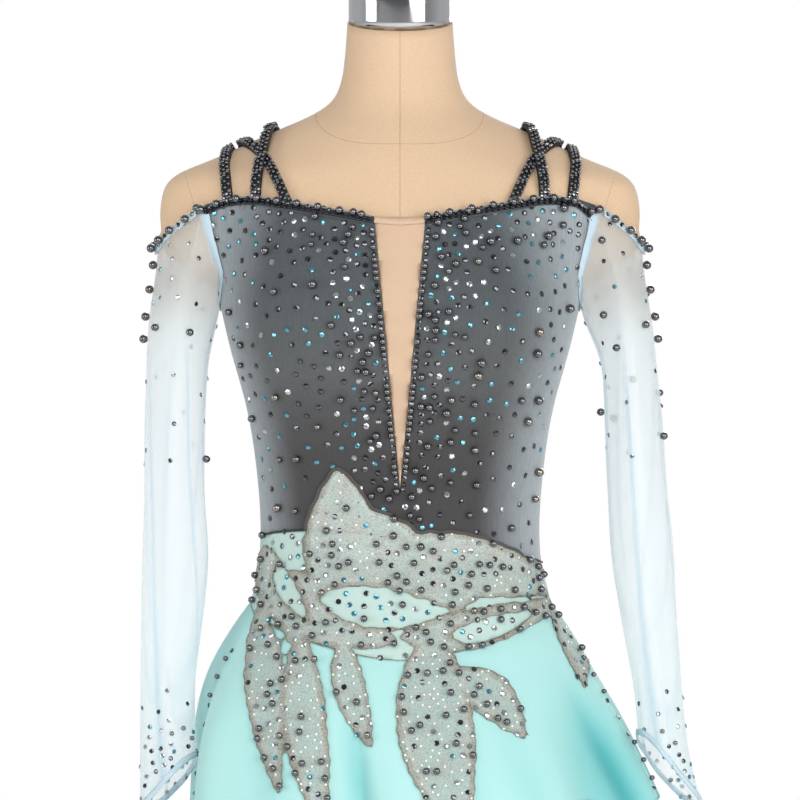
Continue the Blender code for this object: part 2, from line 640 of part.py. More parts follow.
def body_lines(outline):
    """The edges of the form's flat faces where they pass an outline."""
    angles, heights = [a for a, _ in outline], [h for _, h in outline]
    columns, rows = columns_across(False), form_heights()
    first, last = between(columns, min(angles))[0], between(columns, max(angles))[0] + 1
    bottom, top = between(rows, min(heights))[0], between(rows, max(heights))[0] + 1
    lines = [[(columns[i], rows[bottom]), (columns[i], rows[top])] for i in range(first, last + 1)]
    lines += [[(columns[first], rows[j]), (columns[last], rows[j])] for j in range(bottom, top + 1)]
    for i in range(first, last):
        lines += [[(columns[i], rows[j]), (columns[i + 1], rows[j + 1])] for j in range(bottom, top)]
    return lines


def material(name, colour, roughness, metallic=0.0, sheen=0.0):
    made = bpy.data.materials.new(name)
    made.use_nodes = True
    shader = made.node_tree.nodes["Principled BSDF"]
    shader.inputs["Base Color"].default_value = (*colour, 1)
    shader.inputs["Roughness"].default_value = roughness
    shader.inputs["Metallic"].default_value = metallic
    shader.inputs["Sheen Weight"].default_value = sheen
    made.diffuse_color = (*colour, 1)
    return made


# The dress form and its stand

def make_torso(cover):
    rings = []
    for height in form_heights():
        lean = math.tan(NECK_TILT) * smooth((height - NECK_TILT_FROM) / (NECK_TOP - NECK_TILT_FROM))
        ring = []
        for angle in column_angles():
            radius = body_radius(angle, height)
            back = -radius * math.cos(angle)
            ring.append(Vector((radius * math.sin(angle), back, height + lean * back)))
        rings.append(ring)
    skin_rings("form_torso", rings, cover, closed=False)


def make_neck_cap(chrome):
    cap = bmesh.new()
    bmesh.ops.create_cone(cap, cap_ends=True, segments=24, radius1=CAP_RADIUS, radius2=CAP_RADIUS,
                          depth=CAP_HEIGHT)
    rims = [edge for edge in cap.edges if abs(edge.verts[0].co.z - edge.verts[1].co.z) < 1e-6]
    top = [edge for edge in rims if edge.verts[0].co.z > 0]
    bmesh.ops.bevel(cap, geom=top, offset=0.002, segments=2, profile=0.5, affect="EDGES", material=-1)
    bmesh.ops.translate(cap, verts=cap.verts[:], vec=(0, 0, CAP_HEIGHT / 2 + SEAM_GAP))
    bmesh.ops.rotate(cap, verts=cap.verts[:], cent=(0, 0, 0), matrix=Matrix.Rotation(NECK_TILT, 3, "X"))
    bmesh.ops.translate(cap, verts=cap.verts[:], vec=(0, 0, NECK_TOP))
    new_object("form_neck_cap", cap, chrome)


def make_stand(steel):
    pole = bmesh.new()
    length = TORSO_FOOT - HUB_TOP - 2 * SEAM_GAP
    bmesh.ops.create_cone(pole, cap_ends=True, segments=20, depth=length,
                          radius1=POLE_RADIUS, radius2=POLE_RADIUS)
    bmesh.ops.translate(pole, verts=pole.verts[:], vec=(0, 0, HUB_TOP + SEAM_GAP + length / 2))
    new_object("form_pole", pole, steel)
    profile = [
        (BASE_RADIUS, 0), (BASE_RADIUS, BASE_EDGE), (BASE_RADIUS - 0.006, BASE_EDGE + 0.003),
        (HUB_RADIUS + 0.006, 0.014), (HUB_RADIUS - 0.004, HUB_TOP - 0.004), (HUB_RADIUS - 0.008, HUB_TOP),
    ]
    turns = [2 * math.pi * i / BASE_SIDES for i in range(BASE_SIDES)]
    rings = [[Vector((r * math.sin(t), -r * math.cos(t), z)) for t in turns] for r, z in profile]
    skin_rings("form_base", rings, steel, closed=False)


# The bodice and the hip yoke

def mirrored(points):
    return [(-angle, height) for angle, height in reversed(points)]


def neckline(table, from_side, to_side, steps):
    """Points along a neckline on the front half, as angle and height."""
    points = []
    for i in range(steps + 1):
        side = from_side + (to_side - from_side) * i / steps
        height = table_value(table, "height", side)
        points.append((angle_at(side, height), height))
    return points


def armhole():
    """Points from under the armhole's top corner to the underarm."""
    return [(math.radians(edge.angle), edge.height) for edge in ARMHOLE]


def v_edge(inset):
    """Points up one side of the V, from just over its tip to the neck edge."""
    top = table_value(NECK_FRONT, "height", V_CORNER)
    points = []
    for share in (0.1, 0.25, 0.4, 0.55, 0.7, 0.85, 1):
        height = V_TIP + (top - V_TIP) * share
        points.append((angle_at(V_CORNER * share - inset, height), height))
    return points


def seam_points(seam, start, end, shift):
    """Points along a seam between two angles, a little above or below it."""
    between_them = [a for a in columns_across(False) if min(start, end) < a < max(start, end)]
    if start > end:
        between_them.reverse()
    return [(angle, seam(angle) + shift) for angle in [start, *between_them, end]]


def make_bodice(dark, nude):
    half = SEAM_GAP / 2
    side = math.pi / 2 - half / CHART_RADIUS
    top = neckline(NECK_FRONT, V_CORNER, NECK_FRONT[-1].side, 9)
    flank = v_edge(0.0) + top[1:] + armhole() + [(side, UNDERARM)]
    waist = seam_points(waist_seam, side, -side, half)
    outline = [(0.0, V_TIP)] + flank + waist + mirrored(flank)
    lay_panel("bodice_front", [outline], [], body_lines(outline), on_form, PANEL, dark)

    inner = v_edge(SEAM_GAP)
    outline = [(0.0, V_TIP + INSERT_TIP)] + inner + mirrored(inner)
    lay_panel("front_insert", [outline], [], body_lines(outline), on_form, PANEL, nude)

    top = neckline(NECK_BACK, 0.0, NECK_BACK[-1].side, 5)
    flank = [(math.pi - a, h) for a, h in top + armhole() + [(side, UNDERARM)]]
    waist = seam_points(waist_seam, math.pi - side, math.pi + side, half)
    outline = flank + waist + [(2 * math.pi - a, h) for a, h in reversed(flank[1:])]
    lay_panel("bodice_back", [outline], [], body_lines(outline), on_form, PANEL, dark)


def make_yoke(aqua):
    half = SEAM_GAP / 2
    side = math.pi / 2 - half / CHART_RADIUS
    for name, start, end in (("basque_front", -side, side), ("basque_back", math.pi - side, math.pi + side)):
        outline = seam_points(yoke_seam, start, end, half) + seam_points(waist_seam, end, start, -half)
        lay_panel(name, [outline], [], body_lines(outline), on_form, PANEL, aqua)


# The skirts

def make_skirts(aqua):
    angles = column_angles(finer=True)
    rings = []
    for lift, order in ((PANEL[1], SKIRT_ROWS[::-1]), (PANEL[0], SKIRT_ROWS)):
        for share in order:
            corners = [skirt_corner(angle, share) for angle in angles]
            drop = Vector((0, 0, SEAM_GAP)) if share == 0 else Vector()
            rings.append([place + lift * facing - drop for place, facing in corners])
    skin_rings("skirt_outer", rings, aqua, closed=True)

    # The under-skirt's top edge lies against the inside of the outer skirt
    seated = PANEL[0] - SEAM_GAP - CLOTH
    rings = []
    for lift, order in ((CLOTH, UNDER_ROWS[::-1]), (0.0, UNDER_ROWS)):
        for share in order:
            ring = []
            for angle in column_angles():
                top = yoke_seam(angle) - UNDER_START
                if share == 0:
                    ring.append(on_dress(angle, top, seated + lift))
                else:
                    height = top + (UNDER_HEM - top) * share
                    ring.append(on_skin(under_radius, angle, height, lift))
            rings.append(ring)
    skin_rings("skirt_under", rings, aqua, closed=True)


# The sleeves

def sleeve_top(turn):
    """The sleeve's top edge on the wearer's left, at degrees of turn from its outermost point."""
    angle = math.radians(table_value(SLEEVE_TOP, "angle", abs(turn)))
    height = table_value(SLEEVE_TOP, "height", abs(turn))
    lift = table_value(SLEEVE_TOP, "lift", abs(turn))
    return on_form(angle if turn >= 0 else math.pi - angle, height, lift)


def sleeve_point(tubes, cuff, turn, share):
    """The middle of the sleeve's cloth, at a turn in degrees and a share of the length."""
    top = sleeve_top(turn)
    c, s = math.cos(math.radians(turn)), math.sin(math.radians(turn))
    foot = cuff.middle - cuff.outer_drop * c + cuff.front_rise * s
    height = top.z + (foot - top.z) * share
    inner, outer = table_value(tubes, "inner", height), table_value(tubes, "outer", height)
    depth, middle = table_value(tubes, "half_depth", height), table_value(tubes, "middle", height)
    grown = smooth((share - PLEAT_FROM) / PLEAT_GROW)
    tuck = sum(p.depth * bell(wrapped(turn - p.turn), p.half_width) for p in SLEEVE_PLEATS) * grown
    half = (outer - inner) / 2
    hanging = Vector(((inner + outer) / 2 + (half - tuck) * c, middle - (depth - tuck) * s, height))
    place = top.lerp(hanging, smooth(share / SLEEVE_BLEND))
    place.z = height
    return place


@lru_cache(maxsize=None)
def sleeve_turns():
    """The sleeve's columns over one whole turn, the outermost in the middle."""
    return [-turn for turn in SLEEVE_HALF[::-1]] + list(SLEEVE_HALF[1:])


@lru_cache(maxsize=None)
def sleeve_corner(label, turn, share):
    """A corner of the sleeve's flat faces and the way the cloth faces there."""
    tubes, cuff, side = SLEEVES[label]

    def at(t, s):
        point = sleeve_point(tubes, cuff, wrapped(t), s)
        return Vector((side * point.x, point.y, point.z))
    across = at(turn + LOOK_TURN, share) - at(turn - LOOK_TURN, share)
    down = at(turn, share + LOOK_SHARE) - at(turn, max(share - LOOK_SHARE, 0.0))
    return at(turn, share), side * across.cross(down).normalized()


def on_sleeve(label, turn, share, lift):
    """A point off the flat faces of a sleeve's middle surface."""
    turns, shares = sleeve_turns(), SLEEVE_ROWS[::-1]
    i, f = between(turns, turn)
    j, g = between([-value for value in shares], -share)
    corners = [sleeve_corner(label, turns[i + m], shares[j + n]) for n in (0, 1) for m in (0, 1)]
    return in_cell(corners, f, g, lift)


def make_sleeve(label, sheer, edging):
    turns = sleeve_turns()[:-1]
    rings = []
    for lift, order in ((CLOTH / 2, SLEEVE_ROWS[::-1]), (-CLOTH / 2, SLEEVE_ROWS)):
        for share in order:
            corners = [sleeve_corner(label, turn, share) for turn in turns]
            rings.append([place + lift * facing for place, facing in corners])
    skin_rings("sleeve_" + label, rings, sheer, closed=True)

    low, high = CLOTH / 2 + CUFF_GAP, CLOTH / 2 + CUFF_GAP + TRIM
    length = sleeve_top(0).z - SLEEVES[label][1].middle
    band, past = CUFF_BAND / length, BINDING_OVER / length
    corners = ((1 - band, low), (1 + past, low), (1 + past, high), (1 - band, high))
    rings = [[on_sleeve(label, turn, share, lift) for turn in turns] for share, lift in corners]
    skin_rings("cuff_binding_" + label, rings, edging, closed=True)

    reach, foot = math.radians(BINDING_TURN), -SLEEVE_ROWS[1] * length
    outline = [(-reach, 0.0), (reach, 0.0), (reach, -TRIM_WIDTH), (-reach, -TRIM_WIDTH)]
    marks = [math.radians(turn) for turn in turns if abs(turn) < 120]
    lines = [[(mark, foot), (mark, 0.0)] for mark in marks]
    lines += [[(left, foot), (right, 0.0)] for left, right in zip(marks, marks[1:])]

    def place(angle, height, lift):
        return on_sleeve(label, math.degrees(angle), -height / length, lift)
    skins = (CLOTH / 2 + SEAM_GAP, CLOTH / 2 + SEAM_GAP + TRIM)
    lay_panel("sleeve_binding_" + label, [outline], [], lines, place, skins, edging)


# Bindings and straps

def binding(name, points, over, width, look):
    """A binding on the body panels along an edge given as angles and heights."""
    outline = [(a, h + over) for a, h in points] + [(a, h - width) for a, h in reversed(points)]
    lay_panel(name, [outline], [], body_lines(outline), on_form, ON_PANEL, look)


def make_bindings(black, nude):
    end = NECK_FRONT[-1].side - BINDING_SHORT
    points = neckline(NECK_FRONT, V_CORNER, end, 9)
    binding("neck_binding_left", points, BINDING_OVER, TRIM_WIDTH, black)
    binding("neck_binding_right", mirrored(points), BINDING_OVER, TRIM_WIDTH, black)
    half = [(math.pi - a, h) for a, h in neckline(NECK_BACK, 0.0, end, 5)]
    points = half[::-1] + [(2 * math.pi - a, h) for a, h in half[1:]]
    binding("neck_binding_back", points, BINDING_OVER, TRIM_WIDTH, black)
    points = neckline(NECK_FRONT, 0.0, V_CORNER - BINDING_OVER, 3)
    binding("insert_binding", mirrored(points)[:-1] + points, BINDING_OVER, INSERT_TRIM, nude)


def strap_point(side, turn):
    """Where a line from the strap's hub meets the form, turned from the front over the top."""
    hub = Vector((side, 0.0, STRAP_HUB))
    way = Vector((0.0, -math.cos(turn), math.sin(turn)))
    low, high = 0.0, STRAP_REACH
    for _ in range(22):
        middle = (low + high) / 2
        point = hub + middle * way
        skin = on_form(math.atan2(point.x, -point.y), point.z, 0.0)
        if math.hypot(point.x, point.y) < math.hypot(skin.x, skin.y):
            low = middle
        else:
            high = middle
    return hub + low * way


def strap_turns(strap, offset):
    """The turns at which one edge of a strap starts in front and ends behind."""
    ends = []
    for side, table in ((strap.front + offset, NECK_FRONT), (strap.back + offset, NECK_BACK)):
        height = table_value(table, "height", side) + BINDING_OVER + STRAP_FOOT
        foot = on_form(angle_at(side, height), height, 0.0)
        ends.append(math.atan2(foot.z - STRAP_HUB, -foot.y))
    return ends[0], math.pi - ends[1]


def strap_turn(ends, t):
    """The turn at a share t of the way, straight up where the strap passes over the shoulder."""
    if t < STRAP_RIDGE_AT:
        return ends[0] + (math.pi / 2 - ends[0]) * t / STRAP_RIDGE_AT
    return math.pi / 2 + (ends[1] - math.pi / 2) * (t - STRAP_RIDGE_AT) / (1 - STRAP_RIDGE_AT)


def strap_side(strap, t):
    """How far the strap's middle is from the middle plane, at a share t of its way."""
    if t < STRAP_RISE_AT:
        return strap.front + (strap.rise - strap.front) * t / STRAP_RISE_AT
    if t < STRAP_RIDGE_AT:
        share = (t - STRAP_RISE_AT) / (STRAP_RIDGE_AT - STRAP_RISE_AT)
        return strap.rise + (strap.ridge - strap.rise) * share
    share = smooth((t - STRAP_RIDGE_AT) / (1 - STRAP_RIDGE_AT))
    return strap.ridge + (strap.back - strap.ridge) * share


def strap_sections(strap):
    """Four corners at each station: two on the form, and two narrower ones on top."""
    sections = []
    for i in range(STRAP_STATIONS):
        t = i / (STRAP_STATIONS - 1)
        ends = strap_turns(strap, 0.0)
        turn = strap_turn(ends, t)
        step, reach = STRAP_LOOK_ALONG, STRAP_LOOK_ACROSS
        side = strap_side(strap, t)
        ahead = strap_point(strap_side(strap, t + step), strap_turn(ends, t + step))
        behind = strap_point(strap_side(strap, t - step), strap_turn(ends, t - step))
        across = strap_point(side + reach, turn) - strap_point(side - reach, turn)
        facing = across.cross(ahead - behind).normalized()
        lean = abs(ahead.x - behind.x) / (ahead - behind).length
        half = STRAP_WIDTH / 2 / math.sqrt(1 - lean * lean)
        feet = []
        for offset in (-half, half):
            turn = strap_turn(strap_turns(strap, offset), t)
            feet.append(strap_point(side + offset, turn))
        rise, fall = smooth(t / HUMP_RISE), smooth((HUMP_END - t) / HUMP_FALL)
        lift = STRAP_GAP + strap.hump * rise * fall
        inset = (feet[1] - feet[0]) * STRAP_INSET
        bottom = [foot + facing * lift for foot in feet]
        top = [point + facing * STRAP_THICK for point in bottom]
        sections.append([bottom[0], bottom[1], top[1] - inset, top[0] + inset])
    return sections


def make_straps(beaded):
    for strap in STRAPS:
        sections = strap_sections(strap)
        skin_rings("strap_" + strap.name + "_left", sections, beaded)
        mirror = [[Vector((-p.x, p.y, p.z)) for p in section] for section in sections]
        skin_rings("strap_" + strap.name + "_right", mirror, beaded)


# The lace

def leaf_outline(leaf):
    """A pointed leaf seen from the front, bowed to one side."""
    start, end = Vector((leaf.from_x, leaf.from_z)), Vector((leaf.to_x, leaf.to_z))
    way = (end - start).normalized()
    side = Vector((way.y, -way.x))
    left, right = [], []
    for i in range(1, LEAF_STEPS):
        t = i / LEAF_STEPS
        spine = start.lerp(end, t) + side * (leaf.bow * 4 * t * (1 - t))
        half = leaf.width / 2 * math.sin(math.pi * t ** 0.8) ** 0.8
        left.append(spine + side * half)
        right.append(spine - side * half)
    return [start, *left, end, *reversed(right)]


def front_angle(side, height):
    """The angle at which the dress is this far from the middle plane, seen from the front."""
    low, high = 0.0, LACE_END
    way = math.copysign(1, side)
    for _ in range(24):
        middle = (low + high) / 2
        if outer_radius(way * middle, height) * math.sin(middle) < abs(side):
            low = middle
        else:
            high = middle
    return way * high


def make_lace(lace):
    """Leaves less windows, creased where the skirt, its seam and the form's flat faces are."""
    shapes = [[(front_angle(p.x, p.y), p.y) for p in leaf_outline(leaf)] for leaf in LACE_LEAVES]
    holes = [[(front_angle(p.x, p.y), p.y) for p in leaf_outline(leaf)] for leaf in LACE_WINDOWS]
    angles = [a for a in columns_across(True) if abs(a) < LACE_END]
    lines = [[(a, outer_hem(a)), (a, yoke_seam(a))] for a in angles]
    lines += [[(a, skirt_line(a, share)) for a in angles] for share in SKIRT_ROWS]
    for left, right in zip(angles, angles[1:]):
        for upper, lower in zip(SKIRT_ROWS, SKIRT_ROWS[1:]):
            lines.append([(left, skirt_line(left, lower)), (right, skirt_line(right, upper))])
    over = [(a, yoke_seam(a)) for a in angles] + [(angles[-1], LACE_TOP), (angles[0], LACE_TOP)]
    lines += [piece for line in body_lines(over) for piece in above_seam(line)]
    return lay_panel("lace_applique", shapes, holes, lines, on_dress, LACE_SKINS, lace)


def above_seam(line):
    """The parts of a straight line that run above the skirt seam, end to end of it in short steps."""
    start, end = (Vector(point) for point in line)
    steps = max(1, round(abs(end.x - start.x) / SEAM_TURN))
    points = [start.lerp(end, i / steps) for i in range(steps + 1)]
    pieces = [above_seam_piece(a, b) for a, b in zip(points, points[1:])]
    return [piece for piece in pieces if piece]


def above_seam_piece(start, end):
    """A short line cut off where it meets the seam, or nothing if all of it is below."""
    over_start, over_end = start.y - yoke_seam(start.x), end.y - yoke_seam(end.x)
    if over_start <= 0 and over_end <= 0:
        return None
    if over_start < 0:
        start = start.lerp(end, over_start / (over_start - over_end))
    if over_end < 0:
        end = end.lerp(start, over_end / (over_end - over_start))
    return [tuple(start), tuple(end)]


def main():
    for item in list(bpy.data.objects):
        bpy.data.objects.remove(item, do_unlink=True)
    linen = material("linen_cover", (0.72, 0.52, 0.36), 0.85)
    chrome = material("chrome", (0.75, 0.75, 0.76), 0.12, metallic=1.0)
    steel = material("painted_steel", (0.75, 0.74, 0.72), 0.4)
    dark = material("dark_mesh", (0.07, 0.08, 0.085), 0.6, sheen=0.3)
    nude = material("nude_mesh", (0.74, 0.53, 0.38), 0.7)
    pale = material("pale_aqua_stretch", (0.62, 0.86, 0.80), 0.6)
    aqua = material("aqua_chiffon", (0.42, 0.82, 0.75), 0.55, sheen=0.2)
    sheer = material("ice_blue_mesh", (0.72, 0.88, 0.94), 0.6)
    edging = material("ice_blue_binding", (0.60, 0.78, 0.84), 0.6)
    black = material("beaded_binding", (0.03, 0.03, 0.035), 0.35)
    lace = material("grey_lace", (0.34, 0.37, 0.34), 0.75)
    make_torso(linen)
    make_neck_cap(chrome)
    make_stand(steel)
    make_bodice(dark, nude)
    make_yoke(pale)
    make_skirts(aqua)
    make_sleeve("left", sheer, edging)
    make_sleeve("right", sheer, edging)
    make_bindings(black, nude)
    make_straps(black)
    make_lace(lace)


main()
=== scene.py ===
# %% [markdown]
# # A beaded skater dress on its form
# The frame holds the plain solids of the dress and its form. This notebook dresses them: each cloth
# piece becomes a thin finely divided sheet on its solid's shape, the lace gets its stitched border, and
# beads, stones and bound edges are sewn on top. Lengths are in metres, the front faces -Y, and the
# wearer's left is +X.

# %% The frame
import itertools
import math
import random
from collections import defaultdict

import bmesh
import bpy
import numpy as np
from mathutils import Matrix, Vector
from mathutils.bvhtree import BVHTree


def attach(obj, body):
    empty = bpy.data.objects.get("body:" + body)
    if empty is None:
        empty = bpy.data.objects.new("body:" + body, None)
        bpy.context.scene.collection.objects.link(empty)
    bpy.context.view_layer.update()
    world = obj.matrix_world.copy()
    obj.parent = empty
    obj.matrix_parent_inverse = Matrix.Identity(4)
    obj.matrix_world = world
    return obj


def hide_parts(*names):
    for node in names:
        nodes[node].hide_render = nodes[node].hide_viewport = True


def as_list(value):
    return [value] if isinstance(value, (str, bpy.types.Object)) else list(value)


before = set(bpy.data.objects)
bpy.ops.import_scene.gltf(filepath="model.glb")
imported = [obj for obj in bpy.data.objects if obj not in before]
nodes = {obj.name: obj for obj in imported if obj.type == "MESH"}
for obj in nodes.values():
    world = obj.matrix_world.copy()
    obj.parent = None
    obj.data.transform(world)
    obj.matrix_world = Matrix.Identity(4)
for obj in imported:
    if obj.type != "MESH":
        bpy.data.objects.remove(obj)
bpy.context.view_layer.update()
scene = bpy.context.scene
MM = 0.001
print(len(nodes), "nodes")

# %% [markdown]
# ## Cloth on its solid
# A real pattern piece is flat cloth with an outline. Its solid here is a wall with two skins, so the
# larger skin is taken as the face of the cloth. Sharp edges of the wall part the skins from the rims.

# %% Skins and rims of the solids
SHARP = math.radians(50)  # a wall's rim turns more than this, its skins turn less
SAME_POINT = 0.02 * MM


def solid(name):
    """The CAD node's mesh with its doubled points merged."""
    shell = bmesh.new()
    shell.from_mesh(nodes[name].data)
    shell.transform(nodes[name].matrix_world)
    bmesh.ops.remove_doubles(shell, verts=shell.verts[:], dist=SAME_POINT)
    return shell


def outer_skin(name):
    """The largest stretch of faces between sharp edges, as an open mesh."""
    shell = solid(name)
    shell.faces.ensure_lookup_table()
    seen, best, most = set(), [], 0.0
    for first in shell.faces:
        if first in seen:
            continue
        stack, skin = [first], []
        seen.add(first)
        while stack:
            face = stack.pop()
            skin.append(face)
            for edge in face.edges:
                if edge.calc_face_angle(0.0) > SHARP:
                    continue
                for other in edge.link_faces:
                    if other not in seen:
                        seen.add(other)
                        stack.append(other)
        area = sum(face.calc_area() for face in skin)
        if area > most:
            best, most = set(skin), area
    bmesh.ops.delete(shell, geom=[f for f in shell.faces if f not in best], context="FACES")
    return shell


def rims(shell):
    """The open edges of a mesh as ordered loops of points."""
    left = {edge for edge in shell.edges if edge.is_boundary}
    loops = []
    for first in shell.edges:
        if first not in left:
            continue
        left.discard(first)
        start, vert = first.verts
        loop = [start.co.copy(), vert.co.copy()]
        while vert is not start:
            edge = next(e for e in vert.link_edges if e in left)
            left.discard(edge)
            vert = edge.other_vert(vert)
            loop.append(vert.co.copy())
        loops.append(loop[:-1])
    return loops


def rims_of(name):
    """The rims of a solid's outer skin."""
    shell = outer_skin(name)
    loops = rims(shell)
    shell.free()
    return loops


def quads(shell):
    """The triangles joined in pairs, which divide more evenly."""
    bmesh.ops.join_triangles(shell, faces=shell.faces[:], angle_face_threshold=math.radians(40),
                             angle_shape_threshold=math.radians(70))
    return shell


def face_outward(shell):
    """Turns an open sheet's faces away from the upright axis."""
    bmesh.ops.recalc_face_normals(shell, faces=shell.faces[:])
    outward = 0.0
    for face in shell.faces:
        centre = face.calc_center_median()
        outward += face.normal.x * centre.x + face.normal.y * centre.y
    if outward < 0:
        bmesh.ops.reverse_faces(shell, faces=shell.faces[:])


def as_mesh(shell, name):
    """The finished mesh of a bmesh, which is freed."""
    mesh = bpy.data.meshes.new(name)
    shell.to_mesh(mesh)
    shell.free()
    return mesh


def rounded(shell, levels):
    """A mesh divided so often that its faces no longer show. Its sharp edges stay sharp."""
    crease = shell.edges.layers.float.new("crease_edge")
    for edge in shell.edges:
        edge[crease] = 1.0 if edge.calc_face_angle(0.0) > SHARP else 0.0
    guide = bpy.data.objects.new("rounded", as_mesh(shell, "rounded"))
    scene.collection.objects.link(guide)
    guide.modifiers.new("Subdivision", "SUBSURF").levels = levels
    view = bpy.context.evaluated_depsgraph_get()
    fine = bpy.data.meshes.new_from_object(guide.evaluated_get(view))
    bpy.data.objects.remove(guide)
    return fine


def tree_of(mesh):
    return BVHTree.FromPolygons([v.co for v in mesh.vertices], [p.vertices for p in mesh.polygons])


torso_mesh = rounded(quads(solid("form_torso")), 2)
torso = tree_of(torso_mesh)
print("torso", len(torso_mesh.polygons), "faces")

# %% [markdown]
# ## Points on the dress
# Everything sewn on follows the body, so two looks find a point: level toward the upright axis at an angle
# round it, and straight from the front or back as the photo shows it. The cloth's face lies off the form
# by a small gap and its own thickness.

# %% Points on the dress
FORM_GAP = 0.8 * MM
CLOTH = 1.2 * MM
LIFT = FORM_GAP + CLOTH
FAR = 1.0  # looks start this far out, clear of the whole dress
NECK_FRONT, NECK_BACK = 1.296, 1.270  # the dress's neck edge at the middle


def toward(tree, angle, height, lift=0.0):
    """Where a level look at the axis first meets a surface, with the way it faces there."""
    out = Vector((math.sin(angle), -math.cos(angle), 0.0))
    place, normal, _, _ = tree.ray_cast(out * FAR + Vector((0, 0, height)), -out, FAR)
    if place is None:
        return None
    return place + normal * lift, normal


def ahead(trees, x, z, side=-1, lift=0.0):
    """Where a look from the front (side -1) or back (side 1) first meets one of the surfaces."""
    best = None
    for tree in trees:
        place, normal, _, far = tree.ray_cast(Vector((x, side * FAR, z)), Vector((0, -side, 0)), FAR)
        if place is not None and (best is None or far < best[2]):
            best = (place + normal * lift, normal, far)
    return best and best[:2]


def angle_of(place):
    """The angle round the upright axis, 0 at the front and growing toward the wearer's left."""
    return math.atan2(place.x, -place.y)


def smooth(value, low=0.0, high=1.0):
    """0 below low and 1 above high, with a soft start and end between them."""
    share = min(1.0, max(0.0, (value - low) / (high - low)))
    return share * share * (3 - 2 * share)


print("front of the form at 1.2 m:", tuple(toward(torso, 0.0, 1.2)[0]))

# %% [markdown]
# ## Materials
# One function adds a shader node with its settings and its links. Colours are written as sRGB hex and
# turned linear once. Patterns are scaled from real sizes in the object's own coordinates, because the
# pieces have no flat maps that could stretch them.

# %% Helpers for materials
def colour(code):
    """An sRGB hex code as the linear colour that a node takes."""
    parts = [int(code[i:i + 2], 16) / 255 for i in (1, 3, 5)]
    return (*(c / 12.92 if c <= 0.04045 else ((c + 0.055) / 1.055) ** 2.4 for c in parts), 1.0)


def fill(tree, node, inputs):
    """Sets a node's inputs. Each value is a number, a hex colour or another node's output."""
    for name, value in inputs.items():
        if isinstance(value, bpy.types.NodeSocket):
            tree.links.new(value, node.inputs[name])
        else:
            node.inputs[name].default_value = colour(value) if isinstance(value, str) else value


def add(tree, kind, inputs=(), stops=(), out=0, **settings):
    """Adds a shader node and returns one of its outputs. Stops fill a colour ramp."""
    node = tree.nodes.new(kind)
    for name, value in settings.items():
        setattr(node, name, value)
    fill(tree, node, dict(inputs))
    for i, (place, code) in enumerate(stops):
        marks = node.color_ramp.elements
        mark = marks[i] if i < len(marks) else marks.new(1.0)
        mark.position = place
        mark.color = colour(code)
    return node.outputs[out]


def material(name, base, roughness, **inputs):
    """A Principled material, with its node tree and shader for adding to."""
    made = bpy.data.materials.new(name)
    made.use_nodes = True
    tree = made.node_tree
    shader = tree.nodes["Principled BSDF"]
    fill(tree, shader, {"Base Color": base, "Roughness": roughness})
    fill(tree, shader, {key.replace("_", " "): value for key, value in inputs.items()})
    return made, tree, shader


def grain(tree, size_mm, detail=2.0, stretch=(1, 1, 1)):
    """Noise about size_mm across, longer where stretch is less than one."""
    where = add(tree, "ShaderNodeTexCoord", out="Object")
    scale = [share / (size_mm * MM) for share in stretch]
    sized = add(tree, "ShaderNodeMapping", {"Vector": where, "Scale": scale})
    return add(tree, "ShaderNodeTexNoise", {"Vector": sized, "Scale": 1.0, "Detail": detail})


def see_through(tree, shader, share, glow=0.0, tint="#ffffff"):
    """Lets a share of the light straight through thin cloth, and glows a share of it from behind."""
    cloth = shader.outputs["BSDF"]
    if glow:
        lit = add(tree, "ShaderNodeBsdfTranslucent", {"Color": tint})
        cloth = add(tree, "ShaderNodeMixShader", {"Fac": glow, 1: cloth, 2: lit})
    clear = add(tree, "ShaderNodeBsdfTransparent")
    mixed = add(tree, "ShaderNodeMixShader", {"Fac": share, 1: cloth, 2: clear})
    fill(tree, tree.nodes["Material Output"], {"Surface": mixed})


print("grey #808080 is", round(colour("#808080")[0], 3), "in linear light")

# %% [markdown]
# ### Linen, chrome and paint
# The form's linen is dull, and its weave of slightly uneven threads keeps it from looking like plaster.
# The chrome cap needs only a low roughness to mirror the room. The stand has plain white paint.

# %% Linen, chrome and paint
linen, tree, shader = material("beige linen", "#d0b293", 0.85, Sheen_Weight=0.15)
weave = grain(tree, 0.7, 3.0)
# linen threads lie about 0.7 mm apart, and light and dark ones give the eye a fine dry weave
tone = add(tree, "ShaderNodeValToRGB", {"Fac": weave}, [(0.3, "#caab8a"), (0.7, "#d8bc9d")])
relief = add(tree, "ShaderNodeBump", {"Height": weave, "Distance": 0.15 * MM})
fill(tree, shader, {"Base Color": tone, "Normal": relief})
seam_look = material("linen seam", "#a98663", 0.9)[0]  # a fine dark line where two linen panels meet
chrome = material("chrome", "#c9cacd", 0.10, Metallic=1.0)[0]  # sharp bright and dark bands
paint = material("white painted steel", "#e4e4e2", 0.35)[0]  # a clean soft shine
print(len(bpy.data.materials), "materials so far")

# %% [markdown]
# ### Charcoal mesh
# The bodice is black stretch mesh over pale lining. Seen square on it is dark, and at the sides, where
# the eye meets it at a slant, it turns pale grey: partly the lining showing, partly a painted sheen, and on
# the wearer's left painted light from the side lamp. Two values stored at the points say how far a point
# has gone round the side and up the front.

# %% Charcoal mesh
mesh_cloth, tree, shader = material("charcoal stretch mesh", "#4a4b4c", 0.75, Sheen_Weight=0.3)
fade = add(tree, "ShaderNodeAttribute", out="Fac", attribute_name="fade")
rise = add(tree, "ShaderNodeAttribute", out="Fac", attribute_name="rise")
# warm black at the waist turns to a cooler grey at the chest
stops = [(0.0, "#333132"), (0.45, "#4a4d4e"), (1.0, "#40474a")]
middle = add(tree, "ShaderNodeValToRGB", {"Fac": rise}, stops)
# toward the sides it mixes to pale grey, partly lining and partly painted sheen and painted light
shaded = add(tree, "ShaderNodeMixRGB", {"Fac": fade, "Color1": middle, "Color2": "#a3acb0"})
